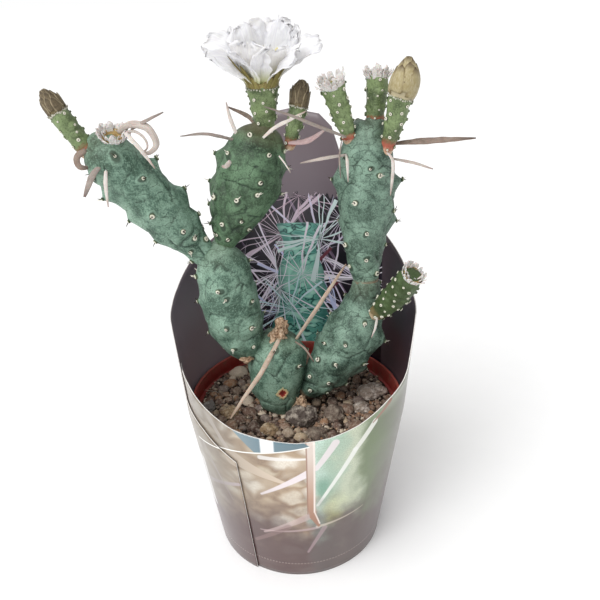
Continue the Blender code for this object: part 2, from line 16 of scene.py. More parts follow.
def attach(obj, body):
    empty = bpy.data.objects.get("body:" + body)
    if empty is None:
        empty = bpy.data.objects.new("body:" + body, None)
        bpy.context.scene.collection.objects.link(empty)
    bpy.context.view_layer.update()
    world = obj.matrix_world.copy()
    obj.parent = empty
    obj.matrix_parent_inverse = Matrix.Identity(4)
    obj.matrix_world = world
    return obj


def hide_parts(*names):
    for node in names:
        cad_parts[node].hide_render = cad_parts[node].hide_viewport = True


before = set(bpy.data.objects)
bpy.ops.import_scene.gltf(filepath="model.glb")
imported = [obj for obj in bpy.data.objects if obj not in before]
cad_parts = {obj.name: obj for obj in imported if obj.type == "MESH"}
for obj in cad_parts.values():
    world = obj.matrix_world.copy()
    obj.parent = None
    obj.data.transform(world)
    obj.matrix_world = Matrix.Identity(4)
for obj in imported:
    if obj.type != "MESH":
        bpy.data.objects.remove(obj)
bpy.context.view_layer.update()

bl_info = {
    "name": "Potted paper spine cactus",
    "version": (1, 0, 0),
    "blender": (4, 5, 0),
    "location": "3D View > Sidebar > Cactus",
    "description": "Builds the detailed surfaces of a potted paper spine cactus around its packed part",
    "category": "Object",
}

MM = 0.001
FINISHES = {}                 # every material made here, by name
GROUPS = {}                   # every shared shader effect, by name
MASKS = ("along", "across", "tone", "crease", "crown", "scar")     # values that a mesh carries at its points
TONES = (0.1, 9.0)            # range of the number that sets one leaf's fibres apart from the next one's
GOLDEN_TURN = math.radians(137.5)
END_ROUND = 0.55              # how far a stem's end bulges, as a share of its radius
END_RINGS = 5
END_RING_TURN = 17.5          # degrees between the rings of a rounded end
SEGMENT_RING_STEP, SEGMENT_SIDES = 0.62, 120      # distance between the rings of points, points in a ring
TUBE_RING_STEP, TUBE_SIDES = 0.35, 64

# ------------------------------------------------------------------ stem segments
# each station is the centre (x, y, z) and the radius of the stem there
SEGMENTS = {
    "base_segment": [
        (-5.8, -3, 62, 2), (-6.2, -3, 69.5, 4), (-6.8, -3, 74, 7.2), (-8.2, -2.6, 80, 10.6),
        (-9.2, -1.8, 87, 12.8), (-8.7, 0, 96, 14), (-7.7, 1, 105, 13), (-6.6, 1.6, 110.5, 9.4),
        (-6, 2, 113.5, 4),
    ],
    "left_lower_segment": [
        (-20.5, 1, 101, 4.6), (-22.4, 0.8, 105, 7.8), (-25, 0, 112, 10.8), (-27.9, -1, 124, 13.1),
        (-29.7, -2, 136.8, 13), (-31, -3, 148, 12), (-32, -4, 156, 9.4),
        (-32.5, -4, 160.5, 5.6), (-32.7, -4, 162.2, 2.5),
    ],
    "left_outer_segment": [
        (-36.5, -4, 155, 5.4), (-41.9, -4.2, 161.2, 6.6), (-46.5, -5.2, 167.2, 8.8),
        (-52.4, -7, 176, 10.9), (-58.9, -9, 185.5, 11.2), (-65.5, -10, 194, 11),
        (-71.5, -12, 203, 10.6), (-74.5, -12, 208, 8.4), (-76.2, -12, 211, 4.2),
    ],
    "left_inner_segment": [
        (-30, -3, 159.5, 4.2), (-27.8, -2, 165.5, 7.2), (-25, -1, 172, 10.3), (-21.6, 0, 179.8, 13.2),
        (-18.3, 2, 187, 14.4), (-15.8, 3, 194, 14.2), (-13.4, 5, 200.5, 12.8), (-11.2, 6, 206.5, 9.6),
        (-10.2, 6, 209.8, 5),
    ],
    "right_lower_segment": [
        (4, -1, 81, 4.8), (9.7, -1, 86.5, 8), (16.7, -1, 95.7, 11.2), (23.5, 0, 105.2, 13.3),
        (28.6, 0, 115.2, 13.1), (31.6, 0, 125.4, 9.9), (32.8, 0, 133, 7.4), (33.3, 0, 139.6, 6.2),
    ],
    "right_upper_segment": [
        (33.4, 0, 140, 5.9), (32.6, 1, 148.5, 7.7), (32.4, 2, 158.8, 9.6), (33, 3, 170.2, 11.8),
        (33.1, 4, 181.4, 12.8), (33, 5, 191, 12.2), (33.3, 5, 199.6, 11.2), (34.2, 5, 205.5, 8.8),
        (36.2, 5.6, 209.6, 5.4), (36.5, 6, 211.4, 4.2),
    ],
}
# tubercles on the front of each segment: share of its length, place across it from -1 at its
# left edge to 1 at its right edge, how far the tubercle stands out
TUBERCLES = {
    "base_segment": [(0.76, 0.7, 1.2), (0.58, -0.65, 1.2), (0.9, -0.1, 0.6), (0.3, -0.95, 1)],
    "left_lower_segment": [
        (0.73, -0.2, 1.6), (0.65, -0.02, 0.4), (0.42, -0.25, 1.5), (0.36, 0.5, 1.3), (0.22, -0.4, 1.2),
        (0.18, 0.35, 1.1), (0.31, -1.00, 1.6), (0.56, -1.00, 1.6), (0.57, 0.75, 1.4), (0.82, 1.00, 1.4),
        (0.8, -0.95, 1.2),
    ],
    "left_outer_segment": [
        (0.68, 0.35, 1.5), (0.68, 1.00, 3.2), (0.5, -0.3, 1.5), (0.44, 1.00, 2.8), (0.3, 0.1, 1.3),
        (0.27, 0.98, 1.8), (0.14, -0.45, 1), (0.12, 0.7, 0.8), (0.07, -0.98, 0.8), (0.86, -0.8, 2),
        (0.72, -1.00, 3.4), (0.52, -1.00, 2.2), (0.32, -0.98, 1.2), (0.2, 0.25, 0.8), (0.88, 0.25, 0.6),
    ],
    "left_inner_segment": [
        (0.72, -0.6, 2), (0.63, 0.45, 1.3), (0.5, 0.5, 1.2), (0.8, 0.5, 0.9), (0.42, 0.05, 1.5),
        (0.38, -0.65, 1.5), (0.21, -0.2, 1.2), (0.3, 0.43, 1.1), (0.1, -0.45, 0.9), (0.1, 0.25, 0.9),
        (0.69, -1.00, 3), (0.45, -1.00, 2), (0.28, -1.00, 1.4), (0.14, -1.00, 1), (0.56, 1.00, 1.2),
        (0.88, 0.95, 1), (0.24, 0.8, 0.9), (0.93, -0.3, 0.8),
    ],
    "right_lower_segment": [
        (0.58, -0.1, 1.5), (0.38, 0.05, 1.4), (0.48, 0.8, 1.4), (0.32, -0.55, 1.2), (0.18, -0.45, 1.1),
        (0.47, -0.65, 1.3), (0.24, 0.35, 1.2), (0.15, 0.75, 1.2), (0.64, 0.98, 3), (0.42, 1.00, 2.4),
        (0.68, -1.00, 1.2), (0.27, 0.95, 1.6), (0.76, 0.2, 0.8), (0.08, 0.1, 0.7),
    ],
    "right_upper_segment": [
        (0.7, 0.33, 1.6), (0.54, -0.42, 1.6), (0.47, 0.85, 1.6), (0.35, 0.00, 1.3), (0.26, -0.8, 1.6),
        (0.17, 0.00, 0.9), (0.06, 0.6, 0.7), (0.63, 1.00, 3.6), (0.39, 1.00, 2.8), (0.65, -1.00, 2.8),
        (0.81, -0.75, 1.4), (0.88, 0.85, 1.2), (0.25, 0.9, 1), (0.75, 0.05, 0.5), (0.12, -0.85, 0.7),
    ],
}
# direction in which the plant's show side faces
SHOW_SIDE = np.array((0, -0.89, 0.45))
# distance between the tubercles that cover the rest of a segment, and their usual height
TUBERCLE_STEP = 11.5
TUBERCLE_RISE = 1.6
TUBERCLE_REACH = 5.6          # radius of a tubercle's foot
TUBERCLE_AHEAD = 1.35         # its gap towards the tip counts for more, and towards the foot for less,
TUBERCLE_BEHIND = 0.85        # so its face is steeper above than below
TUBERCLE_STRAY = 0.28         # how far its outline strays, as a share of its reach
CREASE_WIDTH = 0.55
GROOVE_WIDTH = 0.8
# the right segments take a darker copy of the stem skin, which is painted shade
SEGMENT_FINISHES = {
    "left_inner_segment": "stem_skin_old", "right_lower_segment": "stem_skin_grey",
    "right_upper_segment": "stem_skin_grey",
}
# rings of a dried flower's heart, of the round scar and of a tuft of wool: reach and height of each
HEART_RINGS = [(0.15, 0.5), (0.35, 0.3), (0.62, 0.5), (0.9, 1.0), (1.0, 0.2)]
SCAR_RINGS = [(0.0, -1.0), (0.45, -0.8), (0.72, 0.1), (0.9, 0.45), (1.1, 0.1)]
TUFT_RINGS = [(0.05, 0.10), (0.40, 0.34), (0.75, 0.42), (1.0, 0.05), (1.08, -0.45)]
# cork on the base segment: centre, half sizes, seed
CORK_LUMPS = [
    ((-6.4, -3.0, 116.8), (2.8, 2.4, 4.3), 3.0), ((-8.8, -3.8, 112.6), (3.4, 2.7, 3.8), 8.0),
    ((2.6, -9.8, 78.4), (3.2, 2.8, 4.6), 5.0), ((-22.6, -7.0, 103.8), (2.4, 1.8, 1.4), 6.0),
]

# ------------------------------------------------------------------ buds, fruit and spent flowers
TUBES = {
    "outer_bud": [
        (-79, -12, 204.5, 3.2), (-81.5, -12, 208.5, 3.6), (-84.4, -12, 213.7, 3.8),
        (-87.1, -13, 218.7, 3.9), (-89.5, -13, 223.3, 3.7), (-90.8, -13.3, 226, 3.3),
        (-92, -13.7, 228.4, 1.9), (-93, -14, 230.2, 0.5),
    ],
    "flower_tube": [
        (-9.8, 6, 206.5, 3.8), (-9.8, 6, 210, 4.1), (-9.8, 6, 215, 4.8), (-9.8, 6, 221.3, 5.8),
        (-10, 6, 226.4, 6.4),
    ],
    "small_bud": [
        (0.2, 6, 200.5, 2.2), (2.1, 6, 207.8, 2.9), (3.5, 7, 213, 3.6), (4.9, 8, 218.5, 3.7),
        (5.5, 8, 222.5, 3.4), (6.3, 8.8, 225.6, 2.2), (6.6, 9, 227.3, 0.8),
    ],
    "left_spent_tube": [
        (25.9, 1.4, 203.8, 2.7), (24.6, 1, 207.6, 3.1), (23.1, 0, 212.3, 3.7), (20.6, -1, 219.8, 4.3),
        (18.4, -2, 227, 4.8),
    ],
    "right_spent_tube": [
        (36.5, 6, 210.5, 3.6), (36.6, 6, 216.8, 3.9), (37, 7, 222.3, 4.3), (37.1, 7.5, 228.4, 4.6),
    ],
    "large_bud": [
        (40.2, -1.4, 199.6, 2.8), (41.4, -2, 204.2, 3.1), (42.6, -3, 208.8, 3.7), (43.8, -4, 214.7, 4.2),
        (44.7, -5, 220.6, 4.4), (45.9, -5, 224.8, 5.5), (46.9, -6, 229.6, 5.2), (47.4, -6, 234, 3.2),
        (47.6, -6, 237.4, 0.6),
    ],
    "side_fruit": [
        (36.8, -6.5, 126, 3.4), (40.2, -9, 130, 4.3), (43.8, -12, 135.8, 5.3), (46.9, -15, 141.6, 5.6),
        (49.5, -18, 147.4, 5.2), (50.8, -19.6, 150.6, 4.6),
    ],
}
# distance between the dots of wool on a tube, height and foot radius of the bump under one
DOT_STEP, DOT_RISE, DOT_REACH = 4.3, 0.5, 2.6
TUBE_FINISHES = {"side_fruit": "fruit_skin", "large_bud": "large_bud_skin"}
# share of the bud's length where its scales start, number of scales, length and width of one
BUD_SCALES = {
    "large_bud": (0.6, 18, 12, 8.6),
    "outer_bud": (0.67, 26, 6.2, 4),
    "small_bud": (0.62, 26, 6.4, 4.2),
}
# dried flower remains: centre of the foot, direction, foot radius, mouth radius, height
CROWNS = {
    "left_dry_crown": ((18.4, -2, 226.6), (-2.2, -1, 7.2), 4.6, 6, 4.4),
    "right_dry_crown": ((37.1, 7.5, 228), (0.1, 0.5, 6.1), 4.5, 6.1, 4.6),
    "side_dry_crown": ((50.9, -19.8, 150.6), (1.3, -1.6, 3.2), 4.5, 5.5, 4),
    "outer_dry_crown": ((-68.6, -14, 211.4), (0.6, -2.6, 6.4), 4.6, 6.2, 4.6),
}
# layers of dried petals in one: number, share of its radius, share of its height
CROWN_LAYERS = ((13, 1.0, 1.0), (12, 0.82, 0.95), (9, 0.62, 0.7))
# dry tissue: base, stain, tip and rim colour, roughness, translucency; a word is a colour property
PAPERY_LOOKS = {
    "bud_scales": ("bud", (150, 136, 92), (70, 50, 36), (120, 104, 70), 0.5),
    "cap_scales": ("cap", (70, 62, 48), (66, 56, 46), (176, 162, 132), 0.7),
    "tepal": ((150, 142, 84), (112, 102, 56), (98, 76, 46), (132, 118, 74), 0.55),
    "dry_flower": ((240, 238, 236), (182, 172, 164), (206, 200, 196), (234, 230, 228), 0.85, 0.1),
    "dry_heart": ((178, 152, 100), (112, 88, 54), (120, 98, 66), (112, 88, 54), 0.8),
    "stamen": ((236, 228, 176), (214, 200, 120), (230, 200, 84), (214, 200, 120), 0.6),
}

# ------------------------------------------------------------------ open flower
PETAL_ROWS = 30
PETAL_COLUMNS = 25
FLOWER_CENTRE = (-10, 6, 227)
# bearing in degrees from +X towards +Y, reach and height of the tip, height of the bend,
# full width, seed of the ruffles
OUTER_PETALS = [
    (2, 23.5, 15.5, 15, 14, 1), (42, 18, 21.5, 18, 16, 2), (134, 17.5, 19, 17, 15.5, 3),
    (172, 22.8, 16, 15, 16.5, 24), (203, 21, 10.5, 12, 14.5, 5), (327, 17, 12.5, 12, 14.5, 6),
]
INNER_PETALS = [
    (20, 15.5, 18.5, 17, 13, 7), (62, 15, 23, 19, 18, 8), (122, 13, 22, 18, 17, 9),
    (226, 15, 13, 12, 14, 10), (247, 11.8, 16.8, 12, 16.5, 11), (295, 11.6, 15.4, 11, 16, 12),
]

# outer leaves round the flower's foot: bearing, height, outward reach and width of each
TEPALS = [
    [(176, 11.4, 7.6, 4.8), (200, 12.8, 7.4, 5.2), (220, 9.4, 4.2, 5.4)],
    [(238, 4.9, 1.5, 5.6), (262, 2.2, 0.3, 6.6), (284, 2.9, 0.5, 5)],
    [(303, 5, 1.4, 5.6), (324, 8.2, 3.6, 4.6), (344, 11, 6, 5)],
    [(8, 9, 4, 5), (34, 9, 3.6, 4.8), (62, 8, 3.2, 4.8)],
    [(88, 8, 3, 4.8), (116, 9, 3.4, 4.8), (146, 10, 4.2, 5)],
]
# height over the flower's centre and radius of the style
STYLE_STATIONS = ((0.4, 0.8), (5.0, 0.7), (10.0, 0.65), (12.6, 0.8), (13.4, 1.1))

# ------------------------------------------------------------------ paper spines
# name of the part's piece or of an extra, look, widths at root, middle and tip, way the flat
# side faces, then the points it runs through
BLADES = [
    ("paper_spine_1", "tan", (1.9, 2.1, 0.6), (0.1, -0.8, 0.6),
     [(-7.2, -6, 113.5), (-15, -19, 104.8), (-22.6, -30, 98.7), (-29, -38, 92.5)]),
    ("paper_spine_2", "tan", (1.2, 1.9, 0.4), (0.1, -0.9, 0.3),
     [(0.6, -3, 111.5), (9.8, -7, 128.4), (16.8, -11.5, 142.5), (23, -16, 155.3)]),
    ("paper_spine_3", "white", (0.9, 1.5, 0.3), (0, -0.8, 0.6),
     [(-11, -3, 206.6), (-5.1, -5, 211.8), (1.5, -6, 215.1), (7.5, -7, 218.3)]),
    ("paper_spine_4", "grey", (0.9, 1.3, 0.3), (0, -0.9, 0.4),
     [(-21.5, 0.5, 205.6), (-33.3, -4, 209.6), (-43.6, -6, 209.5)]),
    ("paper_spine_5", "white", (1, 1.6, 0.3), (0.3, -1, 0),
     [(-21, 1.5, 206.8), (-23.7, 3, 214.2), (-25.1, 5, 220.3)]),
    ("paper_spine_6", "grey", (1, 1.5, 0.3), (0, -0.8, 0.6),
     [(23.8, -3.5, 206.6), (11, -8, 212.9), (1.2, -10, 217.5), (-8.9, -11, 221.3)]),
    ("paper_spine_7", "brown", (1.4, 2.8, 0.5), (0, -0.7, 0.7),
     [(43.4, 2, 202), (54.2, -1, 203.6), (66.3, -4, 204.7), (76.7, -5, 205.1)]),
    ("paper_spine_8", "pale", (0.9, 1.3, 0.4), (0, -0.8, 0.6),
     [(43, 1, 196), (52.6, -3, 194.8), (59.9, -5, 192.6)]),
    ("paper_spine_9", "white", (1.2, 1.5, 0.3), (0.4, -0.9, 0.1),
     [(40.4, -3, 200.6), (42.6, -9, 197.6), (42.2, -11.5, 190.4), (41.6, -11.8, 184)]),
    ("paper_spine_10", "pale", (0.9, 1.4, 0.3), (0, -0.8, 0.6),
     [(24.6, -3, 199.2), (14.9, -8, 199.4), (4.6, -10, 198.1)]),
    ("paper_spine_11", "pale", (1.6, 2.8, 0.5), (0.1, -1, 0.2),
     [(-66.6, -13.6, 213.4), (-60.5, -17, 217.2), (-53.6, -18.6, 215.8), (-51, -19, 209.6),
      (-54.6, -19.6, 206.4), (-58.4, -19, 208.8)]),
    ("paper_spine_12", "grey", (1.4, 2.7, 1), (-0.2, -0.9, 0.2),
     [(-73.2, -21.2, 203), (-75.9, -26, 199.7), (-78.8, -30, 192.9)]),
    ("paper_spine_13", "white", (1.2, 1.5, 0.3), (0.2, -0.9, 0.1),
     [(-71.2, -21.6, 201), (-70.9, -26.5, 195.9), (-70.2, -30, 188.5)]),
    ("curl_strand_outer", "pale", (0.7, 1, 0.3), (0.1, -1, 0.2),
     [(-65.4, -13.8, 213), (-59.6, -16.6, 214.4), (-55.4, -18.4, 212), (-54.6, -19, 208.4),
      (-57.6, -19.2, 206.2)]),
    ("thin_spine_base", "brown", (0.6, 0.9, 0.3), (0.1, -0.9, 0.3),
     [(0.2, -6, 112), (4.7, -13, 112.1), (8.6, -18, 108.1)]),
    ("dark_spine_inner", "brown", (1.2, 1.8, 0.6), (0, -0.9, 0.4),
     [(-12.6, 8, 208.8), (-17, 12.5, 212.8), (-25.2, 14, 216.5)]),
    ("white_spine_right_1", "white", (1, 1.3, 0.3), (0.3, -0.9, 0.1),
     [(24, -4, 199.4), (24, -8, 197.6), (24.2, -10, 189.6)]),
    ("thin_spine_right", "grey", (0.5, 0.7, 0.2), (0.2, -0.9, 0.1),
     [(21.8, -4, 205), (20.8, -7, 199), (21.2, -9, 191)]),
    ("thin_spine_outer", "grey", (0.8, 1.3, 0.4), (0, -0.9, 0.4),
     [(-61, -15, 214.6), (-56, -18, 217.8), (-46.7, -20, 222.1)]),
    ("edge_spine_outer", "white", (1.4, 1.5, 0.3), (0.4, -0.9, 0.1),
     [(-62.4, -19, 214.6), (-57.1, -22, 209.2), (-51.9, -22, 201)]),
    ("pink_spine_inner", "pink", (1.2, 2.4, 0.3), (0, -0.8, 0.6),
     [(0, 1, 203.7), (8.1, 0, 204.8), (15.7, 0, 209.3)]),
    ("curl_spine_outer", "brown", (2, 2.6, 0.9), (-0.1, -0.9, 0.4),
     [(-79.1, -17, 207.8), (-82.6, -19, 205.6), (-81.8, -20, 202), (-77.8, -20, 201.4)]),
    ("curl_spine_inner", "pale", (1.6, 2, 0.6), (0.1, -0.9, 0.3),
     [(-23.6, -9, 199.6), (-25.6, -11, 197.8), (-27.2, -11, 198.2)]),
    ("small_spine_inner_1", "white", (0.5, 0.6, 0.2), (0.2, -0.9, 0.1),
     [(-4, -5, 200), (-1.6, -7, 197.2), (0.6, -8, 193.6)]),
    ("small_spine_fruit", "white", (0.9, 1.2, 0.3), (0.4, -0.9, 0.1),
     [(37.8, -11, 127.6), (36.6, -15, 123.6), (34.6, -17, 119.4)]),
]
# colour, stain and tip colour of each look, as sRGB shares of 255
BLADE_LOOKS = {
    "white": ((226, 220, 214), (190, 178, 170), (160, 140, 130)),
    "pale": ((206, 198, 190), (160, 146, 138), (150, 132, 124)),
    "grey": ((168, 158, 150), (126, 114, 108), (110, 98, 92)),
    "brown": ((158, 142, 130), (112, 96, 86), (66, 52, 46)),
    "tan": ((206, 190, 174), (164, 140, 120), (150, 128, 110)),
    "pink": ((200, 178, 176), (158, 128, 128), (186, 172, 168)),
}

# ------------------------------------------------------------------ soil and stones
SOIL_TOP = 72.0
SOIL_RADIUS = 48.2
STONES = {
    # centre, half sizes, look
    "stone_1": ((2.8, -13.8, 74.6), (6.9, 5.6, 5.6), "dark"),
    "stone_2": ((17.8, -11.2, 73.6), (5.2, 4.8, 4.2), "brown"),
    "stone_3": ((-13.2, -21.4, 72.8), (4, 3.8, 3.3), "tan"),
    "stone_4": ((37.6, 7, 73.6), (7.6, 4.8, 4.3), "crust"),
    "stone_5": ((-43.6, -2.4, 73), (3.4, 3.9, 3.5), "grey"),
    "stone_6": ((-32.8, -7.4, 72.8), (4.3, 4.1, 3.5), "tan"),
    "stone_7": ((31.6, -6, 72.8), (4.3, 3.7, 3.3), "crust"),
    "stone_8": ((9.8, -25.6, 72.6), (4.8, 4.4, 3.7), "brown"),
}
STONE_LOOKS = {
    "dark": ((84, 74, 68), (168, 158, 146)),
    "brown": ((104, 90, 80), (150, 138, 124)),
    "tan": ((150, 126, 98), (190, 172, 146)),
    "crust": ((148, 134, 122), (206, 196, 186)),
    "grey": ((120, 114, 110), (164, 158, 152)),
}
PEBBLE_CROWDING = 0.82        # least distance between two pebbles' centres, as a share of both radii together
PEBBLE_TRIES = 9000
STRAW_COUNT = 34
# lumps of a stone, the last only on the finest ones: how fine, share of its roughness
LUMPS = ((1.1, 1.0), (3.1, 0.45), (7.0, 0.22))
# base colour of a pebble by its tone
PEBBLE_COLOURS = [
    (0.0, (72, 56, 50)), (0.16, (106, 82, 70)), (0.32, (136, 110, 92)), (0.46, (92, 76, 69)), (0.60, (152, 114, 84)),
    (0.70, (118, 104, 98)), (0.80, (192, 170, 140)), (0.90, (108, 90, 80)), (1.0, (218, 202, 180)),
]

# ------------------------------------------------------------------ card sleeve
CARD = 0.45                   # thickness of the card
LAP = 0.9                     # how far the outer end of the card stands out from the inner end
# the card widens evenly up to its knee at the pot's rim, then less
SLEEVE_BASE_RADIUS = 41.3
SLEEVE_KNEE_RADIUS = 52.5
SLEEVE_KNEE = 79.0
SLEEVE_FLARE = 0.07
SLEEVE_ROWS = 44
SEAM_START = -100.0           # bearing of the inner end, in degrees from +Y towards +X
# sweep from the inner end in degrees, height of the card there
SLEEVE_TOP = [
    (0, 104), (15, 102), (24, 99), (49, 92.5), (80, 90), (95, 91), (110, 93.5), (128, 98.5),
    (145, 101), (151, 103), (157, 119), (161, 127), (176, 130), (192, 140), (206, 148),
    (222, 152), (229, 160), (235, 183), (240, 197), (246, 203), (260, 205.5), (273, 203),
    (279, 198), (285, 184), (292, 158), (299, 148), (321, 140), (337, 132.5), (348, 129),
    (360, 127), (364, 118), (368, 88), (388, 83.5), (396, 80), (403, 77), (409, 74),
]

# printed spines on the outside: start and end (across the card from the front, height), width,
# share of the width lost towards the end, colour
PRINTED_SPINES = [
    ((-43.7, 95.4), (-29.4, 75.2), 3.2, 0.3, (226, 214, 204)),
    ((-30.3, 76), (-6, 66), 8.4, 0.8, (218, 200, 180)),
    ((-16.4, 80.8), (4.3, 81.1), 2.4, 0.5, (240, 236, 232)),
    ((4.2, 72), (-18.2, 56.9), 4.2, 0.7, (240, 230, 234)),
    ((-54.5, 48.5), (-29.4, 59.7), 2.4, 0.2, (214, 196, 206)),
    ((-50, 74), (-36, 46), 2.6, 0.6, (206, 190, 186)),
    ((16.4, 87.9), (8, 74.6), 3.8, 0.3, (232, 222, 224)),
    ((36.3, 91.5), (26.2, 80.6), 3.4, 0.2, (238, 238, 230)), ((26.2, 80.6), (9.2, 50.4), 3, 0.45, (240, 242, 236)),
    ((46, 97.5), (35.2, 91.5), 2.8, 0.7, (158, 108, 92)),
]
# the same for the fainter ones in the dark band below
LOW_SPINES = [
    ((6, 44), (-19.7, 30), 4.6, 0.7, (204, 180, 178)),
    ((10, 34.8), (-22, 31), 1.8, 0.6, (196, 172, 174)),
    ((13.2, 34), (4.4, 17.5), 3, 0.5, (178, 152, 158)),
    ((9.2, 35.4), (36.2, 39.2), 1.8, 0.8, (226, 212, 196)),
    ((-6, 36), (-26, 22), 3.4, 0.4, (140, 114, 112)),
]
# the large one in front, browner lower down where it has no colour here, and its bent foot
FRONT_SPINE = [
    ((5.4, 92.0), (6.0, 50.0), 4.0, 0.0, None), ((6.0, 50.0), (7.0, 43.0), 4.0, 0.1, None),
    ((7.0, 43.0), (10.0, 36.0), 3.6, 0.55, None), ((7.0, 90.0), (7.6, 46.0), 0.9, 0.0, (240, 228, 220)),
    ((3.7, 90.0), (4.3, 45.0), 0.6, 0.0, (150, 112, 94)), ((7.6, 46.0), (10.4, 37.6), 0.8, 0.0, (232, 216, 206)),
]
# dark ones printed inside
DARK_SPINES = [
    ((5.5, 119.0), (20.0, 134.0), 3.0, 0.6, (112, 52, 66)), ((12.0, 106.0), (24.0, 116.0), 2.6, 0.6, (112, 52, 66)),
]
# areoles printed inside, where spines spread: across, height, reach, colour
FAR_AREOLES = [
    (-6, 141, 34, (216, 196, 212)), (14, 131, 38, (220, 212, 234)), (-7.7, 119.3, 40, (240, 230, 246)),
    (11.3, 107.4, 36, (212, 214, 246)), (-9.9, 97, 30, (206, 212, 244)), (4, 161, 30, (206, 178, 194)),
    (26, 150, 28, (232, 222, 238)), (38, 122, 28, (244, 238, 248)), (24, 92, 26, (200, 208, 244)),
    (-26, 128, 24, (236, 224, 240)),
]
NEAR_AREOLES = [
    (-7, 109, 24, (240, 240, 250)), (4.7, 118, 30, (244, 236, 248)), (-2, 98, 24, (214, 240, 246)),
    (14.5, 138, 24, (222, 240, 240)),
]

# ------------------------------------------------------------------ camera and light
CAMERA_PLACE = (3, -288.9, 277.2)
CAMERA_PITCH = 26.89
CAMERA_ROLL = -1.61
CAMERA_LENS = 42.0
CAMERA_SENSOR = 36.0
CAMERA_NEAR = 0.01            # metres
FLOOR_HALF = 4.0              # half of the floor's width, in metres
FLOOR_GAP = 0.2               # how far it lies under the pot
SKY_LIGHT = 0.60              # light from all round; the empty background itself stays white
# kind, place in metres, angle in radians or width in metres, share of the lamp power
LAMPS = [
    ("key_lamp", "SUN", (-0.56, -0.62, 1.15), 0.9, 0.50),
    ("front_lamp", "AREA", (-0.62, -0.70, 0.72), 0.4, 0.42),
    ("fill_lamp", "AREA", (0.80, -0.55, 0.60), 0.8, 0.02),
    ("back_lamp", "AREA", (-0.5, 0.95, 0.7), 0.7, 0.25),
]
LIT_PLACE = (0.0, 0.0, 0.12)  # where every lamp points, in metres


def tint(red, green, blue):
    """Linear colour from sRGB shares of 255."""
    return tuple((c / 255.0 / 12.92) if c <= 10 else ((c / 255.0 + 0.055) / 1.055) ** 2.4
                 for c in (red, green, blue))


# ------------------------------------------------------------------ properties
def length_property(name, description, millimetres, **limits):
    return bpy.props.FloatProperty(name=name, description=description, default=millimetres * MM,
                                   unit="LENGTH", precision=4, min=0.0, **limits)


def colour_property(name, description, red, green, blue):
    return bpy.props.FloatVectorProperty(name=name, description=description, subtype="COLOR", size=3,
                                         default=tint(red, green, blue), min=0.0, max=1.0)


class CactusSizes(bpy.types.PropertyGroup):
    """Sizes of the plant's small parts."""
    areole_radius: length_property("Areole radius", "Radius of a tuft of wool on a segment", 0.98)
    dot_radius: length_property("Dot radius", "Radius of a tuft of wool on a bud or fruit", 0.60)
    groove_depth: length_property("Groove depth", "Depth of the creases between tubercles", 0.60)
    petal_thickness: length_property("Petal thickness", "Thickness of a petal", 0.14)
    blade_thickness: length_property("Spine thickness", "Thickness of a paper spine", 0.16)
    pebble_count: bpy.props.IntProperty(
        name="Pebbles", description="Number of pebbles lying on the soil", default=290, min=0)
    grit_count: bpy.props.IntProperty(
        name="Grit", description="Number of grains between the pebbles", default=1700, min=0)
    filament_count: bpy.props.IntProperty(
        name="Stamens", description="Number of stamens in the flower", default=64, min=1)
    lamp_power: bpy.props.FloatProperty(
        name="Lamp power", description="Power of the main lamp", default=4.1, min=0.0, unit="POWER")


class CactusColours(bpy.types.PropertyGroup):
    """Main colours of the plant, its soil and its pot."""
    stem: colour_property("Stem", "Skin of the segments", 92, 122, 105)
    stem_old: colour_property("Old stem", "Skin of the darker inner segment", 62, 86, 62)
    tube: colour_property("Tube", "Skin of flower tubes, buds and the fruit", 106, 122, 82)
    collar: colour_property("Collar", "Stain round the foot of a tube", 160, 84, 66)
    bud: colour_property("Bud scale", "Scales of the large bud", 178, 167, 136)
    cap: colour_property("Cap scale", "Scales of the small buds", 122, 108, 84)
    petal: colour_property("Petal", "Open flower", 242, 241, 241)
    pot: colour_property("Pot", "Plastic of the pot", 140, 46, 40)
    card: colour_property("Card", "Plain inside of the sleeve", 112, 98, 108)
    floor: colour_property("Floor", "Surface the pot stands on", 251, 251, 251)


# ------------------------------------------------------------------ nodes
class Field:
    """Output of a shader node; arithmetic on it adds math nodes to the tree in hand."""
    tree = None

    def __init__(self, socket):
        self.socket = socket

    def __add__(self, other):
        return calc("ADD", self, other)

    def __sub__(self, other):
        return calc("SUBTRACT", self, other)

    def __rsub__(self, other):
        return calc("SUBTRACT", other, self)

    def __mul__(self, other):
        return calc("MULTIPLY", self, other)

    def __truediv__(self, other):
        return calc("DIVIDE", self, other)

    def __lt__(self, other):
        return calc("LESS_THAN", self, other)

    def __gt__(self, other):
        return calc("GREATER_THAN", self, other)

    def __abs__(self):
        return calc("ABSOLUTE", self)

    __radd__, __rmul__ = __add__, __mul__


def opaque(colour):
    """Linear colour with its alpha; whole numbers are sRGB shares of 255."""
    colour = tint(*colour) if isinstance(colour[0], int) else tuple(colour)
    return (*colour[:3], 1.0)


def plug(socket, value):
    """Link a field to an input socket, or set the socket's own value."""
    if isinstance(value, Field):
        socket.id_data.links.new(value.socket, socket)
    elif value is not None:
        socket.default_value = opaque(value) if socket.type == "RGBA" else value


def node(kind, settings=(), **inputs):
    """Add a node to the tree in hand and give its outputs by name and by place.

    Inputs are named by socket, or i0, i1... by place, and hold values or fields.
    """
    made = Field.tree.nodes.new("ShaderNode" + kind)
    for key, value in dict(settings).items():
        setattr(made, key, value)
    for key, value in inputs.items():
        by_place = key[0] == "i" and key[1:].isdigit()
        plug(made.inputs[int(key[1:]) if by_place else key.replace("_", " ")], value)
    return {key: Field(socket) for place, socket in enumerate(made.outputs) for key in (place, socket.name)}


def calc(operation, a, b=None, c=None, clamp=False):
    """Output of a math node."""
    return node("Math", {"operation": operation, "use_clamp": clamp}, i0=a, i1=b, i2=c)[0]


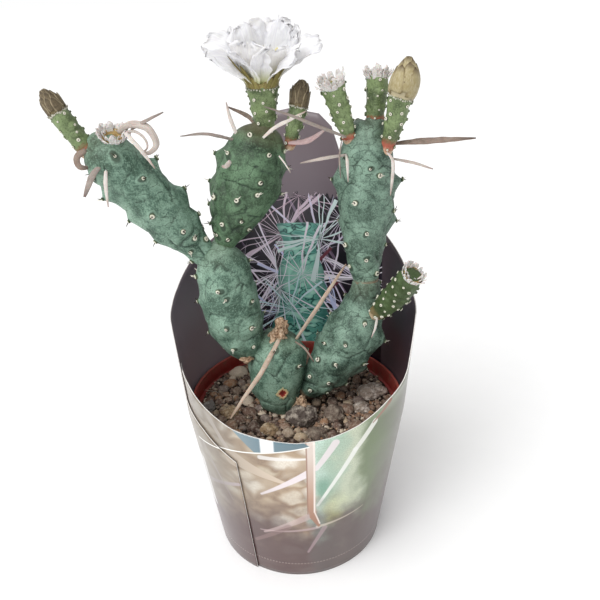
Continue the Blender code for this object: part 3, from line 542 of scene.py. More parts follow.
def vector(operation, a, b=None, scale=None):
    """Output of a vector math node."""
    output = 1 if operation in ("DOT_PRODUCT", "LENGTH") else 0
    return node("VectorMath", {"operation": operation}, i0=a, i1=b, i3=scale)[output]


def joined(x, y, z=0.0):
    return node("CombineXYZ", X=x, Y=y, Z=z)[0]


def blend(share, a, b):
    """Colour a share of the way from a to b."""
    return node("Mix", {"data_type": "RGBA", "clamp_factor": True}, i0=share, i6=a, i7=b)[2]


def layered(colour, *layers):
    """The colour under further layers, each a share and the colour it lays on."""
    for share, over in layers:
        colour = blend(share, colour, over)
    return colour


def ramp(value, *stops, smooth=False):
    """Colour ramp over (place, colour) stops; a plain number gives a grey."""
    made = node("ValToRGB", Fac=value)[0]
    band = made.socket.node.color_ramp
    band.interpolation = "EASE" if smooth else "LINEAR"
    while len(band.elements) < len(stops):
        band.elements.new(1.0)
    for element, (place, colour) in zip(band.elements, stops):
        element.position = place
        element.color = opaque(colour if isinstance(colour, tuple) else (float(colour),) * 3)
    return made


def share_between(value, low, high, kind="SMOOTHSTEP"):
    """Share of the way from low to high, from 0 to 1."""
    return node("MapRange", {"interpolation_type": kind}, i0=value, i1=low, i2=high)[0]


def between(value, low, high, soft):
    """1 where value lies between low and high, fading over soft at both ends."""
    rise, fall = (share_between(value, edge - soft, edge + soft) for edge in (low, high))
    return calc("SUBTRACT", rise, fall, clamp=True)


def grain(where, scale, detail=3.0, rough=0.55):
    """Factor of a noise texture; scale is in cells per metre."""
    return node("TexNoise", Vector=where, Scale=scale, Detail=detail, Roughness=rough)[0]


def cells(where, scale, feature="F1"):
    return node("TexVoronoi", {"feature": feature}, Vector=where, Scale=scale)


def mask(name):
    """Value that the mesh carries at every vertex."""
    return node("Attribute", {"attribute_name": name})["Fac"]


def place_of():
    """Place on the object, in metres."""
    return node("TexCoord")["Object"]


def stretched(where, x=1.0, y=1.0, z=1.0):
    return node("Mapping", Vector=where, Scale=(x, y, z))[0]


def new_group(name, inputs, outputs=("Color", "Height")):
    """Empty node group, taken in hand; gives its inputs as fields and the sockets of its outputs."""
    tree = Field.tree = GROUPS[name] = bpy.data.node_groups.new(name, "ShaderNodeTree")
    for label, value in inputs.items():
        kind = "NodeSocketColor" if isinstance(value, tuple) else "NodeSocketFloat"
        socket = tree.interface.new_socket(name=label, in_out="INPUT", socket_type=kind)
        socket.default_value = opaque(value) if isinstance(value, tuple) else value
    for label in outputs:
        kind = "NodeSocketColor" if label == "Color" else "NodeSocketFloat"
        tree.interface.new_socket(name=label, in_out="OUTPUT", socket_type=kind)
    given = {socket.name: Field(socket) for socket in tree.nodes.new("NodeGroupInput").outputs}
    return given, tree.nodes.new("NodeGroupOutput").inputs


def use_group(name, **inputs):
    return node("Group", {"node_tree": GROUPS[name]}, **inputs)


def new_finish(name, roughness, specular=0.5, **shader_values):
    """Material with only its shader, whose tree is taken in hand."""
    finish = FINISHES[name] = bpy.data.materials.new(name)
    finish.use_nodes = True
    Field.tree = finish.node_tree
    for key, value in {"Roughness": roughness, "Specular IOR Level": specular, **shader_values}.items():
        plug(Field.tree.nodes["Principled BSDF"].inputs[key.replace("_", " ")], value)


def wire(colour, height=None, depth=0.2, roughness=None):
    """Feed the shader in hand; depth is the height of the relief in millimetres."""
    shader = Field.tree.nodes["Principled BSDF"].inputs
    plug(shader["Base Color"], colour)
    plug(shader["Roughness"], roughness)
    if height is not None:
        plug(shader["Normal"], node("Bump", Height=height, Distance=depth * MM, Strength=1.0)[0])


# ------------------------------------------------------------------ shared effects
def make_skin_grain():
    """Fine waxy speckle and wider mottling of living skin, and fine wrinkle lines darkened with painted shade."""
    given, out = new_group("skin_grain", {
        "Base": (0.1, 0.3, 0.2), "Light": (0.3, 0.5, 0.4), "Dark": (0.05, 0.1, 0.05),
        "Speckle": 1500.0, "Wrinkles": 0.0})
    where = place_of()
    wide = grain(where, 110.0, 4.0, 0.6)
    fine = grain(where, given["Speckle"], 3.0, 0.7)
    ridge = abs(grain(stretched(where, z=1.9), 125.0, 1.5, 0.4) - 0.5)
    # painted shade: the wrinkle lines are darkened like shaded grooves
    wrinkle = ramp(ridge, (0.0, 1.0), (0.016, 0.0)) * ramp(wide, (0.42, 0.0), (0.54, 1.0)) * given["Wrinkles"]
    plug(out["Color"], layered(
        given["Base"], (ramp(wide, (0.44, 0.0), (0.63, 0.90)), given["Light"]),
        (ramp(wide, (0.33, 0.82), (0.50, 0.0)), given["Dark"]),
        (ramp(fine, (0.52, 0.0), (0.66, 0.60)), given["Light"]),
        (ramp(fine, (0.34, 0.65), (0.48, 0.0)), given["Dark"]), (wrinkle, given["Dark"])))
    plug(out["Height"], fine - wrinkle)


def make_paper_fibre():
    """Lengthwise fibres and blotches of dry, papery tissue, which carries along and across masks."""
    given, out = new_group("paper_fibre", {
        "Base": (0.7, 0.7, 0.7), "Stain": (0.4, 0.3, 0.3), "Tip": (0.2, 0.1, 0.1)})
    along = mask("along")
    fibre = grain(joined(along * 2.5, mask("across") * 3.2, mask("tone")), 3.4, 4.0, 0.75)
    blotch = grain(place_of(), 420.0, 3.0)
    plug(out["Color"], layered(
        given["Base"], (ramp(fibre, (0.38, 0.9), (0.60, 0.0)), given["Stain"]),
        (ramp(blotch, (0.52, 0.0), (0.74, 0.7)), given["Stain"]),
        (ramp(along, (0.72, 0.0), (1.0, 0.95)), given["Tip"])))
    plug(out["Height"], fibre)


def make_mineral():
    """Pitted, crusted mineral surface, with painted shade in its pits."""
    given, out = new_group("mineral", {"Base": (0.2, 0.2, 0.2), "Crust": (0.5, 0.5, 0.5), "Scale": 500.0})
    where = place_of()
    broad = grain(where, given["Scale"], 5.0, 0.65)
    pits = cells(where, given["Scale"] * 3.2)["Distance"]
    # painted shade: the pits are darkened nearly to black
    plug(out["Color"], layered(
        given["Base"], (ramp(broad, (0.47, 0.0), (0.62, 0.9)), given["Crust"]),
        (ramp(pits, (0.05, 0.75), (0.34, 0.0)), (0.03, 0.026, 0.022))))
    plug(out["Height"], broad + pits * 0.4)


def make_card_place():
    """Bearing in degrees from the front, positive to the right, place along the card and height, in millimetres."""
    _, out = new_group("card_place", {}, ("Bearing", "Across", "Height"))
    parts = node("SeparateXYZ", Vector=place_of())
    turned = calc("ARCTAN2", parts[0], parts[1] * -1.0)
    plug(out["Bearing"], turned * math.degrees(1.0))
    plug(out["Across"], turned * SLEEVE_KNEE_RADIUS)
    plug(out["Height"], parts[2] * (1.0 / MM))


def make_stroke():
    """Mask of a printed line from (X0, Y0) to (X1, Y1) that narrows by Taper towards its end."""
    names = ("X", "Y", "X0", "Y0", "X1", "Y1", "Width", "Taper")
    given, out = new_group("stroke", dict.fromkeys(names, 0.0), ["Mask"])
    start = joined(given["X0"], given["Y0"])
    way = vector("SUBTRACT", joined(given["X1"], given["Y1"]), start)
    here = vector("SUBTRACT", joined(given["X"], given["Y"]), start)
    along = calc("DIVIDE", vector("DOT_PRODUCT", here, way), vector("DOT_PRODUCT", way, way), clamp=True)
    gap = vector("LENGTH", vector("SUBTRACT", here, vector("SCALE", way, scale=along)))
    half = given["Width"] * 0.5 * (1.0 - along * given["Taper"])
    plug(out["Mask"], 1.0 - share_between(gap, half - 0.35, half + 0.25))


def make_burst():
    """Mask of straight printed spines that spread from (X0, Y0) and thin out towards Reach."""
    given, out = new_group("burst", dict.fromkeys(("X", "Y", "X0", "Y0", "Reach", "Seed"), 0.0), ["Mask"])
    here = joined(given["X"] - given["X0"], given["Y"] - given["Y0"])
    spokes = vector("SCALE", vector("NORMALIZE", here), scale=9.0)
    spot = vector("ADD", spokes, joined(0.0, 0.0, given["Seed"]))
    share = vector("LENGTH", here) / given["Reach"]
    limit = calc("SQRT", share) * 0.165 + 0.485
    rays = share_between(grain(spot, 1.0, 1.5), limit, limit + 0.025)
    plug(out["Mask"], rays * (share < 1.0))


def with_lines(shade, x, y, lines, strength=1.0):
    """The shade under printed lines: start, end, width, taper and colour of each."""
    for start, end, width, taper, colour in lines:
        line = use_group("stroke", X=x, Y=y, X0=start[0], Y0=start[1], X1=end[0], Y1=end[1], Width=width, Taper=taper)
        shade = blend(line["Mask"] if strength == 1.0 else line["Mask"] * strength, shade, colour)
    return shade


def with_rays(shade, x, y, areoles, first_seed, seed_step):
    """The shade under bundles of printed spines: across, height, reach and colour of each."""
    for index, (x0, y0, reach, colour) in enumerate(areoles, 1):
        rays = use_group("burst", X=x, Y=y, X0=x0, Y0=y0, Reach=reach, Seed=index * seed_step + first_seed)
        shade = blend(rays["Mask"], shade, colour)
    return shade


# ------------------------------------------------------------------ finishes
def stem_finish(name, base, light, dark, browned):
    """Waxy green skin: painted shade in the creases, a painted highlight on each tubercle, a painted shadow ring
    round each areole, and browning at the ends.
    """
    new_finish(name, 0.58, 0.4)
    skin = use_group("skin_grain", Base=base, Light=light, Dark=dark, Speckle=1500.0, Wrinkles=0.85)
    crown = mask("crown")
    # painted light on the skin: crease darkens the grooves as painted shade, the first crown ramp is a painted
    # highlight, the second a painted shadow ring round the areole
    colour = layered(
        skin["Color"], (mask("crease") * 0.85, (26, 44, 34)),
        (ramp(crown, (0.0, 0.0), (0.10, 0.45), (0.30, 0.25)), light),
        (ramp(crown, (0.26, 0.0), (0.44, 0.75), (0.62, 0.75)), (34, 50, 36)),
        (ramp(mask("along"), (0.84, 0.0), (1.0, browned)), (96, 88, 62)), (mask("scar"), (150, 118, 92)))
    wire(colour, skin["Height"], 0.12)


def tube_finish(name, base, collar, under):
    """Smoother, yellower skin with a red stain and a corky rim at its foot; bud bases under the scales; painted shade
    in its creases and a painted highlight round its dots.
    """
    new_finish(name, 0.5, 0.4)
    light = tuple(min(1.0, 1.5 * c + 0.01) for c in base)
    skin = use_group("skin_grain", Base=base, Light=light, Dark=(50, 64, 34), Speckle=1800.0)
    ragged = mask("along") + grain(place_of(), 900.0) * 0.12
    # crease darkens the grooves as painted shade, crown lightens round each dot as a painted highlight
    colour = layered(
        skin["Color"], (mask("crease") * 0.35, (48, 62, 34)), (mask("crown") * 0.4, light),
        (ramp(ragged, (0.16, 0.95), (0.25, 0.0)), collar), (ramp(ragged, (0.08, 0.8), (0.13, 0.0)), (204, 180, 150)),
        (mask("scar"), under))
    wire(colour, skin["Height"], 0.08)


def papery_finish(name, base, stain, tip, rim, roughness=0.75, translucent=0.0):
    """Dry tissue with lengthwise fibres; rim is the colour of its two long edges."""
    new_finish(name, roughness, 0.3, Subsurface_Weight=translucent, Subsurface_Scale=0.6 * MM)
    paper = use_group("paper_fibre", Base=base, Stain=stain, Tip=tip)
    edge = ramp(abs(mask("across")), (0.62, 0.0), (0.95, 0.75))
    wire(blend(edge, paper["Color"], rim), paper["Height"], 0.10)


def petal_finish(colour):
    """Thin white tissue with faint veins, yellow-green at its foot."""
    new_finish("petal", 0.55, 0.25, Subsurface_Weight=0.6, Subsurface_Scale=1.5 * MM,
               Subsurface_Radius=(1.0, 0.95, 0.85))
    along = mask("along")
    veins = grain(joined(along * 1.2, mask("across") * 7.0, mask("tone")), 2.6, 2.0, 0.5)
    shade = layered(colour, (ramp(veins, (0.40, 0.35), (0.58, 0.0)), (214, 208, 220)),
                    (ramp(along, (0.08, 0.95), (0.50, 0.0)), (192, 194, 104)))
    wire(shade, veins, 0.08)


def wool_finish():
    """Off-white wool with a dark brown heart, and the short spines that stand in it."""
    new_finish("areole_wool", 0.9, 0.1)
    heart = ramp(mask("along"), (0.20, (48, 42, 32)), (0.46, (240, 236, 222)), (0.86, (216, 216, 196)),
                 (1.0, (70, 88, 62)))
    fluff = grain(place_of(), 3800.0, 2.0, 0.7)
    wire(blend(ramp(fluff, (0.36, 0.35), (0.52, 0.0)), heart, (150, 140, 120)), fluff, 0.15)


def rock_finish(name, roughness, specular, base, crust, scale, depth):
    """Pitted stone or soil; without a base each pebble takes its own from the tone it carries."""
    new_finish(name, roughness, specular)
    if base is None:
        base = ramp(mask("tone"), *PEBBLE_COLOURS)
        crust = blend(0.35, base, crust)
    rock = use_group("mineral", Base=base, Crust=crust, Scale=scale)
    wire(rock["Color"], rock["Height"], depth)


def pot_finish(colour):
    """Matt red-brown plastic with dust caught on it and a paler painted highlight on its ridges."""
    new_finish("terracotta_plastic", 0.42, 0.45)
    where = place_of()
    dust = ramp(grain(where, 260.0, 5.0, 0.7), (0.50, 0.0), (0.70, 0.6))
    # painted highlight: ridges lightened by pointiness
    ridge_highlight = ramp(node("NewGeometry")["Pointiness"], (0.52, 0.0), (0.58, 0.55))
    shade = layered(colour, (ridge_highlight, (190, 96, 84)), (dust, (128, 100, 84)))
    wire(shade, grain(where, 2600.0, 2.0), 0.05, ramp(dust, (0.0, 0.42), (0.6, 0.85)))


def card_outside_finish():
    """Glossy print: blurred pebbles and papery spines on the left, a blurred green stem on the right, darkened
    towards both sides by painted shade.
    """
    new_finish("card_outside", 0.30, 0.5, Coat_Weight=0.3, Coat_Roughness=0.15)
    spot = use_group("card_place")
    bearing, across, height = spot["Bearing"], spot["Across"], spot["Height"]
    flat = joined(across, height)
    blur = grain(flat, 0.07, 2.0, 0.5)
    sway = blur - 0.5
    wavy = across + sway * 22.0

    sunk = vector("ADD", place_of(), joined(0.0, 0.0, sway * (14.0 * MM)))
    spread = stretched(sunk, 72.0, 72.0, 128.0)
    stones = cells(spread, 1.0)
    each = node("SeparateColor", Color=stones["Color"])[0]
    gap = cells(spread, 1.0, "DISTANCE_TO_EDGE")["Distance"]
    seams = ramp(gap, (0.0, 0.75), (0.30, 0.0), smooth=True) * ramp(blur, (0.36, 0.15), (0.58, 1.0))
    pebble = layered(
        ramp(each, (0.1, (222, 208, 186)), (0.5, (238, 232, 220)), (0.9, (204, 190, 168))),
        (ramp(stones["Distance"], (0.26, 0.0), (0.60, 0.75), smooth=True), (176, 150, 120)),
        (seams, (126, 98, 76)), (ramp(grain(flat, 0.9, 3.0), (0.35, 0.30), (0.6, 0.0)), (186, 160, 132)))

    bud = between(wavy, 14.0, 24.0, 5.0) * between(height, 36.0, 43.0, 4.0)
    green = layered(
        ramp(share_between(wavy, 4.0, 62.0, "LINEAR"), (0.0, (226, 234, 226)), (0.08, (196, 220, 206)),
             (0.20, (176, 200, 180)), (0.36, (204, 212, 188)), (0.54, (112, 128, 90)), (0.72, (108, 116, 90)),
             (1.0, (106, 106, 92)), smooth=True),
        (between(across, 8.0, 15.0, 3.0) * between(height, 54.0, 68.0, 5.0), (128, 170, 150)),
        (between(wavy, 12.0, 24.0, 6.0) * between(height, 38.0, 54.0, 7.0), (222, 228, 184)),
        (bud * 0.7, (200, 202, 104)), (share_between(height, 90.0, 104.0) * 0.7, (222, 228, 212)),
        (ramp(grain(flat, 1.6, 3.0, 0.7), (0.40, 0.30), (0.58, 0.0)), (92, 108, 84)))
    grown = share_between(wavy, 3.0, 9.0) * (1.0 - share_between(bearing, 96.0, 124.0))
    shade = with_lines(blend(grown, pebble, green), across, height, PRINTED_SPINES, 0.88)

    # painted shade: the print darkens towards both sides of the sleeve, less at its back
    behind = share_between(abs(bearing), 100.0, 150.0)
    for turned, near_edge, far_edge in ((bearing * -1.0, -4.0, 54.0), (bearing, 44.0, 80.0)):
        side_shade = share_between(turned, near_edge, far_edge) * (0.78 - behind * 0.5)
        shade = blend(side_shade, shade, (112, 106, 96))
    low = height + (grain(flat, 0.045) - 0.5) * 70.0
    shade = blend((1.0 - share_between(low, 22.0, 62.0)) * 0.94, shade, (82, 60, 61))
    shade = with_lines(shade, across, height, LOW_SPINES, 0.5)
    brown = ramp(share_between(height, 40.0, 84.0, "LINEAR"), (0.0, (158, 116, 94)), (0.35, (184, 146, 124)),
                 (1.0, (220, 206, 196)))
    shade = with_lines(shade, across, height, [(*line, colour or brown) for *line, colour in FRONT_SPINE])

    # strip of a second picture above the arc, its rule, then the plain label at the left
    arc = bearing * 0.2 + 86.9
    strip = ramp(share_between(bearing, -32.0, 8.0, "LINEAR"), (0.0, (130, 146, 152)), (0.36, (108, 130, 140)),
                 (0.38, (238, 240, 240)), (0.52, (232, 236, 240)), (0.54, (104, 128, 138)), (1.0, (98, 120, 128)))
    above = height - arc
    dashes = calc("SINE", bearing * 3.0) > -0.2
    fold = between(height, 8.2, 8.8, 0.3) * dashes
    shade = layered(
        shade, ((height > arc) * between(bearing + above * 0.9, -20.5, 5.6, 0.4), strip),
        (between(above, -0.5, 0.1, 0.15) * between(bearing, -60.0, 5.6, 0.4), (244, 244, 240)),
        (between(bearing, -84.0, -62.0, 0.5) * between(height, 28.0, 60.0, 0.5) * 0.8, (214, 212, 212)),
        (fold * 0.5, (196, 176, 170)))
    wire(shade, fold * -1.0, 0.25)


def card_inside_finish(colour):
    """Plain dark coated card with painted light and shade on its walls, and a printed picture of a cactus in its
    spines behind the plant.
    """
    new_finish("card_inside", 0.34, 0.5, Coat_Weight=0.25, Coat_Roughness=0.2)
    parts = node("SeparateXYZ", Vector=place_of())
    across, height = parts[0] * (1.0 / MM), parts[2] * (1.0 / MM)
    spread = joined(across, height)
    bow = (grain(spread, 0.06, 1.0) - 0.5) * 3.5
    x, z = across + bow, height - bow

    # painted light and shade on the plain card: the left wall lit, the right wall shaded, lighter towards the top
    painted_left_light = share_between(across * -1.0, 20.0, 46.0) * calc("SUBTRACT", 0.75, share_between(height, 110.0, 150.0),
                                                          clamp=True)
    wall_with_painted_light = layered(colour, (share_between(height, 150.0, 205.0, "LINEAR"), (124, 112, 116)),
                   (share_between(across, 20.0, 52.0) * 0.7, (58, 46, 50)), (painted_left_light, (164, 150, 158)))
    leaning = node("Mapping", Vector=spread, Rotation=(0.0, 0.0, -0.5))[0]
    needles = grain(node("Mapping", Vector=leaning, Location=(9.0, 15.3, 9.0), Scale=(0.46, 0.03, 1.0))[0],
                    1.0, 2.0, 0.5)
    scene = layered((16, 14, 24), (ramp(grain(spread, 0.10, 3.0), (0.4, 0.0), (0.7, 0.6)), (58, 44, 62)),
                    (ramp(needles, (0.60, 0.0), (0.64, 0.7)), (146, 124, 150)))
    scene = with_rays(scene, x, z, FAR_AREOLES, 0.0, 7.3)
    scene = with_lines(scene, x, z, DARK_SPINES)

    column = abs(across - 4.0)
    lobes = calc("SINE", height * 0.20) * 2.0
    half = 15.0 - share_between(height, 108.0, 116.0) * 4.5
    worms = grain(stretched(spread, 0.16, 0.26), 1.0, 1.5, 0.4)
    smooth_part = between(height, 112.0, 124.0, 4.0)
    creases = ramp(abs(worms - 0.5), (0.0, 1.0), (0.045, 0.0), smooth=True) * (1.0 - smooth_part * 0.8)
    body = layered(
        ramp(worms, (0.34, (78, 150, 138)), (0.52, (126, 200, 182)), (0.66, (178, 230, 214))),
        (smooth_part * 0.65, (166, 226, 206)), (creases, (28, 78, 76)),
        (ramp(column / 12.0, (0.50, 0.0), (1.0, 0.7)), (38, 88, 86)))
    scene = blend((column + lobes < half) * between(height, 78.0, 147.0, 0.5), scene, body)
    scene = with_rays(scene, x, z, NEAR_AREOLES, 3.0, 11.9)

    top = grain(stretched(spread, 0.8, 0.12), 1.0, 3.0, 0.7) * 14.0 + 155.0
    framed = (height < top) * (parts[1] > 0.0) * between(across, -33.0, 45.0, 0.2)
    wire(blend(framed, wall_with_painted_light, scene), grain(place_of(), 900.0, 2.0), 0.02)


def card_edge_finish():
    """Bare white fibres of the cut card."""
    new_finish("card_edge", 0.8)
    fibres = grain(place_of(), 1400.0, 3.0)
    wire(ramp(fibres, (0.3, (214, 208, 204)), (0.7, (240, 236, 232))), fibres, 0.08)


def floor_finish(colour):
    """Matt pale floor, very slightly mottled."""
    new_finish("floor", 0.9, 0.1)
    wire(blend(ramp(grain(place_of(), 60.0, 2.0), (0.4, 0.0), (0.7, 0.04)), colour, (220, 220, 220)))


def scar_finishes():
    """Cork of the old joints, and the red heart and pale edge of the round scar."""
    new_finish("cork", 0.85, 0.2)
    bark = grain(place_of(), 700.0, 5.0, 0.7)
    wire(ramp(bark, (0.34, (78, 58, 46)), (0.45, (160, 130, 104)), (0.56, (202, 174, 146)), (0.70, (218, 202, 180))),
         bark, 0.7)
    new_finish("scar", 0.7, 0.3)
    ragged = mask("along") + (grain(place_of(), 1600.0) - 0.5) * 0.3
    wire(ramp(ragged, (0.30, (120, 40, 34)), (0.52, (164, 60, 48)), (0.64, (206, 178, 136)), (0.92, (190, 178, 136)),
              (1.0, (96, 140, 112))), ragged, 0.2)


def make_finishes(context):
    """Shared effects first, then every finish, each made once."""
    if FINISHES:
        return
    for make_effect in (make_skin_grain, make_paper_fibre, make_mineral, make_card_place, make_stroke, make_burst):
        make_effect()
    given = {name: tuple(getattr(context.scene.cactus_colours, name)) for name in CactusColours.__annotations__}
    stem_finish("stem_skin", given["stem"], (142, 172, 152), (40, 64, 50), 0.25)
    # darker copy of the stem skin: painted shade for the right segments
    stem_finish("stem_skin_grey", (82, 106, 92), (128, 156, 138), (36, 56, 44), 0.25)
    stem_finish("stem_skin_old", given["stem_old"], (98, 128, 98), (28, 44, 28), 0.65)
    tube_finish("tube_skin", given["tube"], given["collar"], (120, 106, 74))
    tube_finish("large_bud_skin", given["tube"], given["collar"], given["bud"])
    tube_finish("fruit_skin", tint(60, 77, 42), (110, 96, 62), (120, 106, 74))
    for name, look in PAPERY_LOOKS.items():
        papery_finish(name, *(given.get(value, value) if isinstance(value, str) else value for value in look))
    for look, (base, stain, tip) in BLADE_LOOKS.items():
        rim = tint(*(0.5 * (b + 1.1 * c) for b, c in zip(base, stain)))
        papery_finish("paper_spine_" + look, base, stain, tip, rim, 0.72, 0.1)
    petal_finish(given["petal"])
    wool_finish()
    for look, (base, crust) in STONE_LOOKS.items():
        rock_finish("stone_" + look, 0.88, 0.3, base, crust, 320.0, 0.55)
    rock_finish("pebbles", 0.9, 0.3, None, (214, 202, 186), 700.0, 0.3)
    rock_finish("soil", 0.95, 0.15, (52, 42, 36), (96, 80, 66), 900.0, 0.8)
    pot_finish(given["pot"])
    card_outside_finish()
    card_inside_finish(given["card"])
    card_edge_finish()
    floor_finish(given["floor"])
    scar_finishes()


# ------------------------------------------------------------------ mesh helpers
class Heap:
    """Points, faces and masks gathered for one piece, in millimetres."""

    def __init__(self):
        self.points, self.faces, self.masks, self.count = [], [], {}, 0

    def add(self, points, faces, **masks):
        """A mask is a number, one number for each point, or a function that is asked after the points are made."""
        points = np.asarray(points, float).reshape(-1, 3)
        self.faces += [[corner + self.count for corner in face] for face in faces]
        self.points.append(points)
        for name in MASKS:
            values = masks.get(name, 0.0)
            values = np.asarray(values() if callable(values) else values, float).ravel()
            self.masks.setdefault(name, []).append(np.broadcast_to(values, (len(points),)))
        self.count += len(points)

    def strip(self, rows, columns, place, tone, fade=1.0):
        """Strip of tissue; place gives the point at a share of its length and from -1 to 1 across it."""
        spots = [(row / (rows - 1), 2.0 * column / (columns - 1) - 1.0)
                 for row in range(rows) for column in range(columns)]
        self.add([place(t, u) for t, u in spots], grid_faces(rows, columns, False),
                 along=[t * fade for t, _ in spots], across=[u for _, u in spots], tone=tone)

    def dome(self, rings, sides, place, share, tone=0.0):
        """Rings of (reach, height) closed by the first one; place gives a point, share the ring's along mask."""
        turns = [step * math.tau / sides for step in range(sides)]
        self.add([place(reach, up, turn) for reach, up in rings for turn in turns],
                 ring_faces(len(rings), sides, False), along=[share(reach) for reach, _ in rings for _ in turns],
                 tone=tone)

    def piece(self, name, finishes, slot, nodes=(), solid=0.0):
        """Make the piece, in millimetres until now, and let it ride on the part."""
        mesh = bpy.data.meshes.new(name)
        mesh.from_pydata((np.vstack(self.points) * MM).tolist(), [], self.faces)
        for label, values in self.masks.items():
            values = np.concatenate(values)
            if np.any(values):
                layer = mesh.attributes.new(label, "FLOAT", "POINT")
                layer.data.foreach_set("value", values.astype(np.float32))
        mesh.validate()
        mesh.shade_smooth()
        for finish in finishes:
            mesh.materials.append(FINISHES[finish])
        piece = bpy.data.objects.new(name, mesh)
        bpy.context.scene.collection.objects.link(piece)
        if solid:
            thick = piece.modifiers.new("thickness", "SOLIDIFY")
            thick.thickness = solid
            thick.offset = 0.0
        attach(piece, "root")
        if nodes:
            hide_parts(*nodes)
        return piece


def grid_faces(rows, columns, closed):
    """Quads of a grid of points; closed joins the last column to the first."""
    return [[row * columns + column, row * columns + (column + 1) % columns,
             (row + 1) * columns + (column + 1) % columns, (row + 1) * columns + column]
            for row in range(rows - 1) for column in range(columns if closed else columns - 1)]


def ring_faces(rows, sides, top=True):
    """Faces of a tube of rings, closed at its foot and, where asked, at its top."""
    faces = grid_faces(rows, sides, True) + [list(range(sides))[::-1]]
    if top:
        faces.append([(rows - 1) * sides + side for side in range(sides)])
    return faces


def smooth_line(rows, spacing):
    """Rows of numbers carried smoothly through each row, with points about spacing apart."""
    rows = np.array(rows, float)
    held = np.vstack([2.0 * rows[0] - rows[1], rows, 2.0 * rows[-1] - rows[-2]])
    out = []
    for a, b, c, d in zip(held, held[1:], held[2:], held[3:]):
        steps = max(1, round(float(np.linalg.norm((c - b)[:3])) / spacing))
        f = np.arange(steps)[:, None] / steps
        out.append(0.5 * (2 * b + (c - a) * f + (2 * a - 5 * b + 4 * c - d) * f ** 2
                          + (3 * b - a - 3 * c + d) * f ** 3))
    return np.vstack(out + [rows[-1:]])


def unit(vectors):
    return vectors / np.maximum(np.linalg.norm(vectors, axis=-1, keepdims=True), 1e-9)


def compass(bearing):
    """Level direction at a bearing in radians from +X towards +Y."""
    return np.array((math.cos(bearing), math.sin(bearing), 0.0))


def raised(height):
    """Upright arrow of that height."""
    return np.array((0.0, 0.0, height))


def scattered(dice, limit):
    """Even random place within limit of the pot's axis."""
    angle, reach = dice.random() * math.tau, limit * math.sqrt(dice.random())
    return reach * math.cos(angle), reach * math.sin(angle)


class Stem:
    """A round stem as rings of points: ring centres, radii and the two directions across it."""

    def __init__(self, stations, spacing, sides, top_round=END_ROUND):
        line = smooth_line(stations, spacing)
        centre, radius = line[:, :3], np.maximum(line[:, 3], 0.3)
        first, last = unit(centre[0] - centre[1]), unit(centre[-1] - centre[-2])
        turns = np.radians(np.arange(1, END_RINGS + 1) * END_RING_TURN)
        cap = [centre[-1] + last * radius[-1] * top_round * math.sin(a) for a in turns]
        foot = [centre[0] + first * radius[0] * END_ROUND * math.sin(a) for a in turns[::-1]]
        self.centre = np.vstack([foot, centre, cap])
        self.radius = np.concatenate([radius[0] * np.cos(turns[::-1]), radius, radius[-1] * np.cos(turns)])
        tangent = np.gradient(centre, axis=0)
        ends = (np.repeat(end, END_RINGS, 0) for end in (tangent[:1], tangent[-1:]))
        self.tangent = unit(np.vstack([next(ends), tangent, next(ends)]))
        self.right = unit(np.array([1.0, 0.0, 0.0]) - self.tangent * self.tangent[:, :1])
        self.away = np.cross(self.tangent, self.right)
        steps = np.linalg.norm(np.diff(self.centre, axis=0), axis=1)
        self.distance = np.concatenate([[0.0], np.cumsum(steps)])
        self.start = self.distance[END_RINGS]
        self.length = self.distance[-1 - END_RINGS] - self.start
        self.angles = np.arange(sides) * math.tau / sides

    def radius_at(self, distance):
        return float(np.interp(distance, self.distance, self.radius))

    def share(self, distance):
        """Share of the stem's length at a distance along it."""
        return (distance - self.start) / self.length

    def surface(self, lift):
        """Points of the skin, raised by lift at every ring and angle."""
        out = np.cos(self.angles)[None, :, None] * self.right[:, None] \
            + np.sin(self.angles)[None, :, None] * self.away[:, None]
        return self.centre[:, None] + out * (self.radius[:, None] + lift)[..., None]

    def edge_angle(self, distance):
        """Angle of the stem's right edge for someone looking at its show side."""
        row = int(np.argmin(np.abs(self.distance - distance)))
        right, away = float(self.right[row] @ SHOW_SIDE), float(self.away[row] @ SHOW_SIDE)
        return math.atan2(-right, away) + math.pi * (away < 0.0)

    def at(self, distance, angle, lift):
        """Point on the skin, outward direction and direction along the stem there."""
        here = np.array([[np.interp(distance, self.distance, column) for column in block.T]
                         for block in (self.centre, self.right, self.away, self.tangent)])
        out = unit(here[1] * math.cos(angle) + here[2] * math.sin(angle))
        return here[0] + out * (self.radius_at(distance) + lift), out, unit(here[3])

    def skin(self, name, lift, finish, slot, **masks):
        """Piece of the whole skin, which stands for the part's piece of that name."""
        heap = Heap()
        share = np.clip(self.share(self.distance), 0.0, 1.0)[:, None] + np.zeros_like(lift)
        heap.add(self.surface(lift), ring_faces(*lift.shape), along=share, **masks)
        heap.piece(name + "_skin", [finish], slot, [name])


def spot_gap(radius, spot, other):
    """Distance between two spots, (distance along, angle), on a stem of that radius."""
    turn = abs((spot[1] - other[1] + math.pi) % math.tau - math.pi)
    return math.hypot(spot[0] - other[0], radius * turn)


def tubercle_spots(stem, placed, step, rise, seed):
    """Spots as (distance along, angle, rise): the placed ones, then a spiral of others between them."""
    dice = random.Random(seed)
    spots = []
    for share, across, height in placed:
        distance = stem.start + share * stem.length
        spots.append((distance, stem.edge_angle(distance) - math.acos(across), height))
    distance, turn = stem.start + 1.5, dice.random() * math.tau
    while distance < stem.start + stem.length - 0.5:
        radius = max(2.0, stem.radius_at(distance))
        front = placed and math.sin(turn - stem.edge_angle(distance)) < 0.12
        if not front and all(spot_gap(radius, (distance, turn), other) > 0.72 * step for other in spots):
            spots.append((distance, turn, rise * (0.6 + 0.8 * dice.random())))
        distance += 0.5 * step * step / (math.tau * radius)
        turn = (turn + GOLDEN_TURN) % math.tau
    return spots


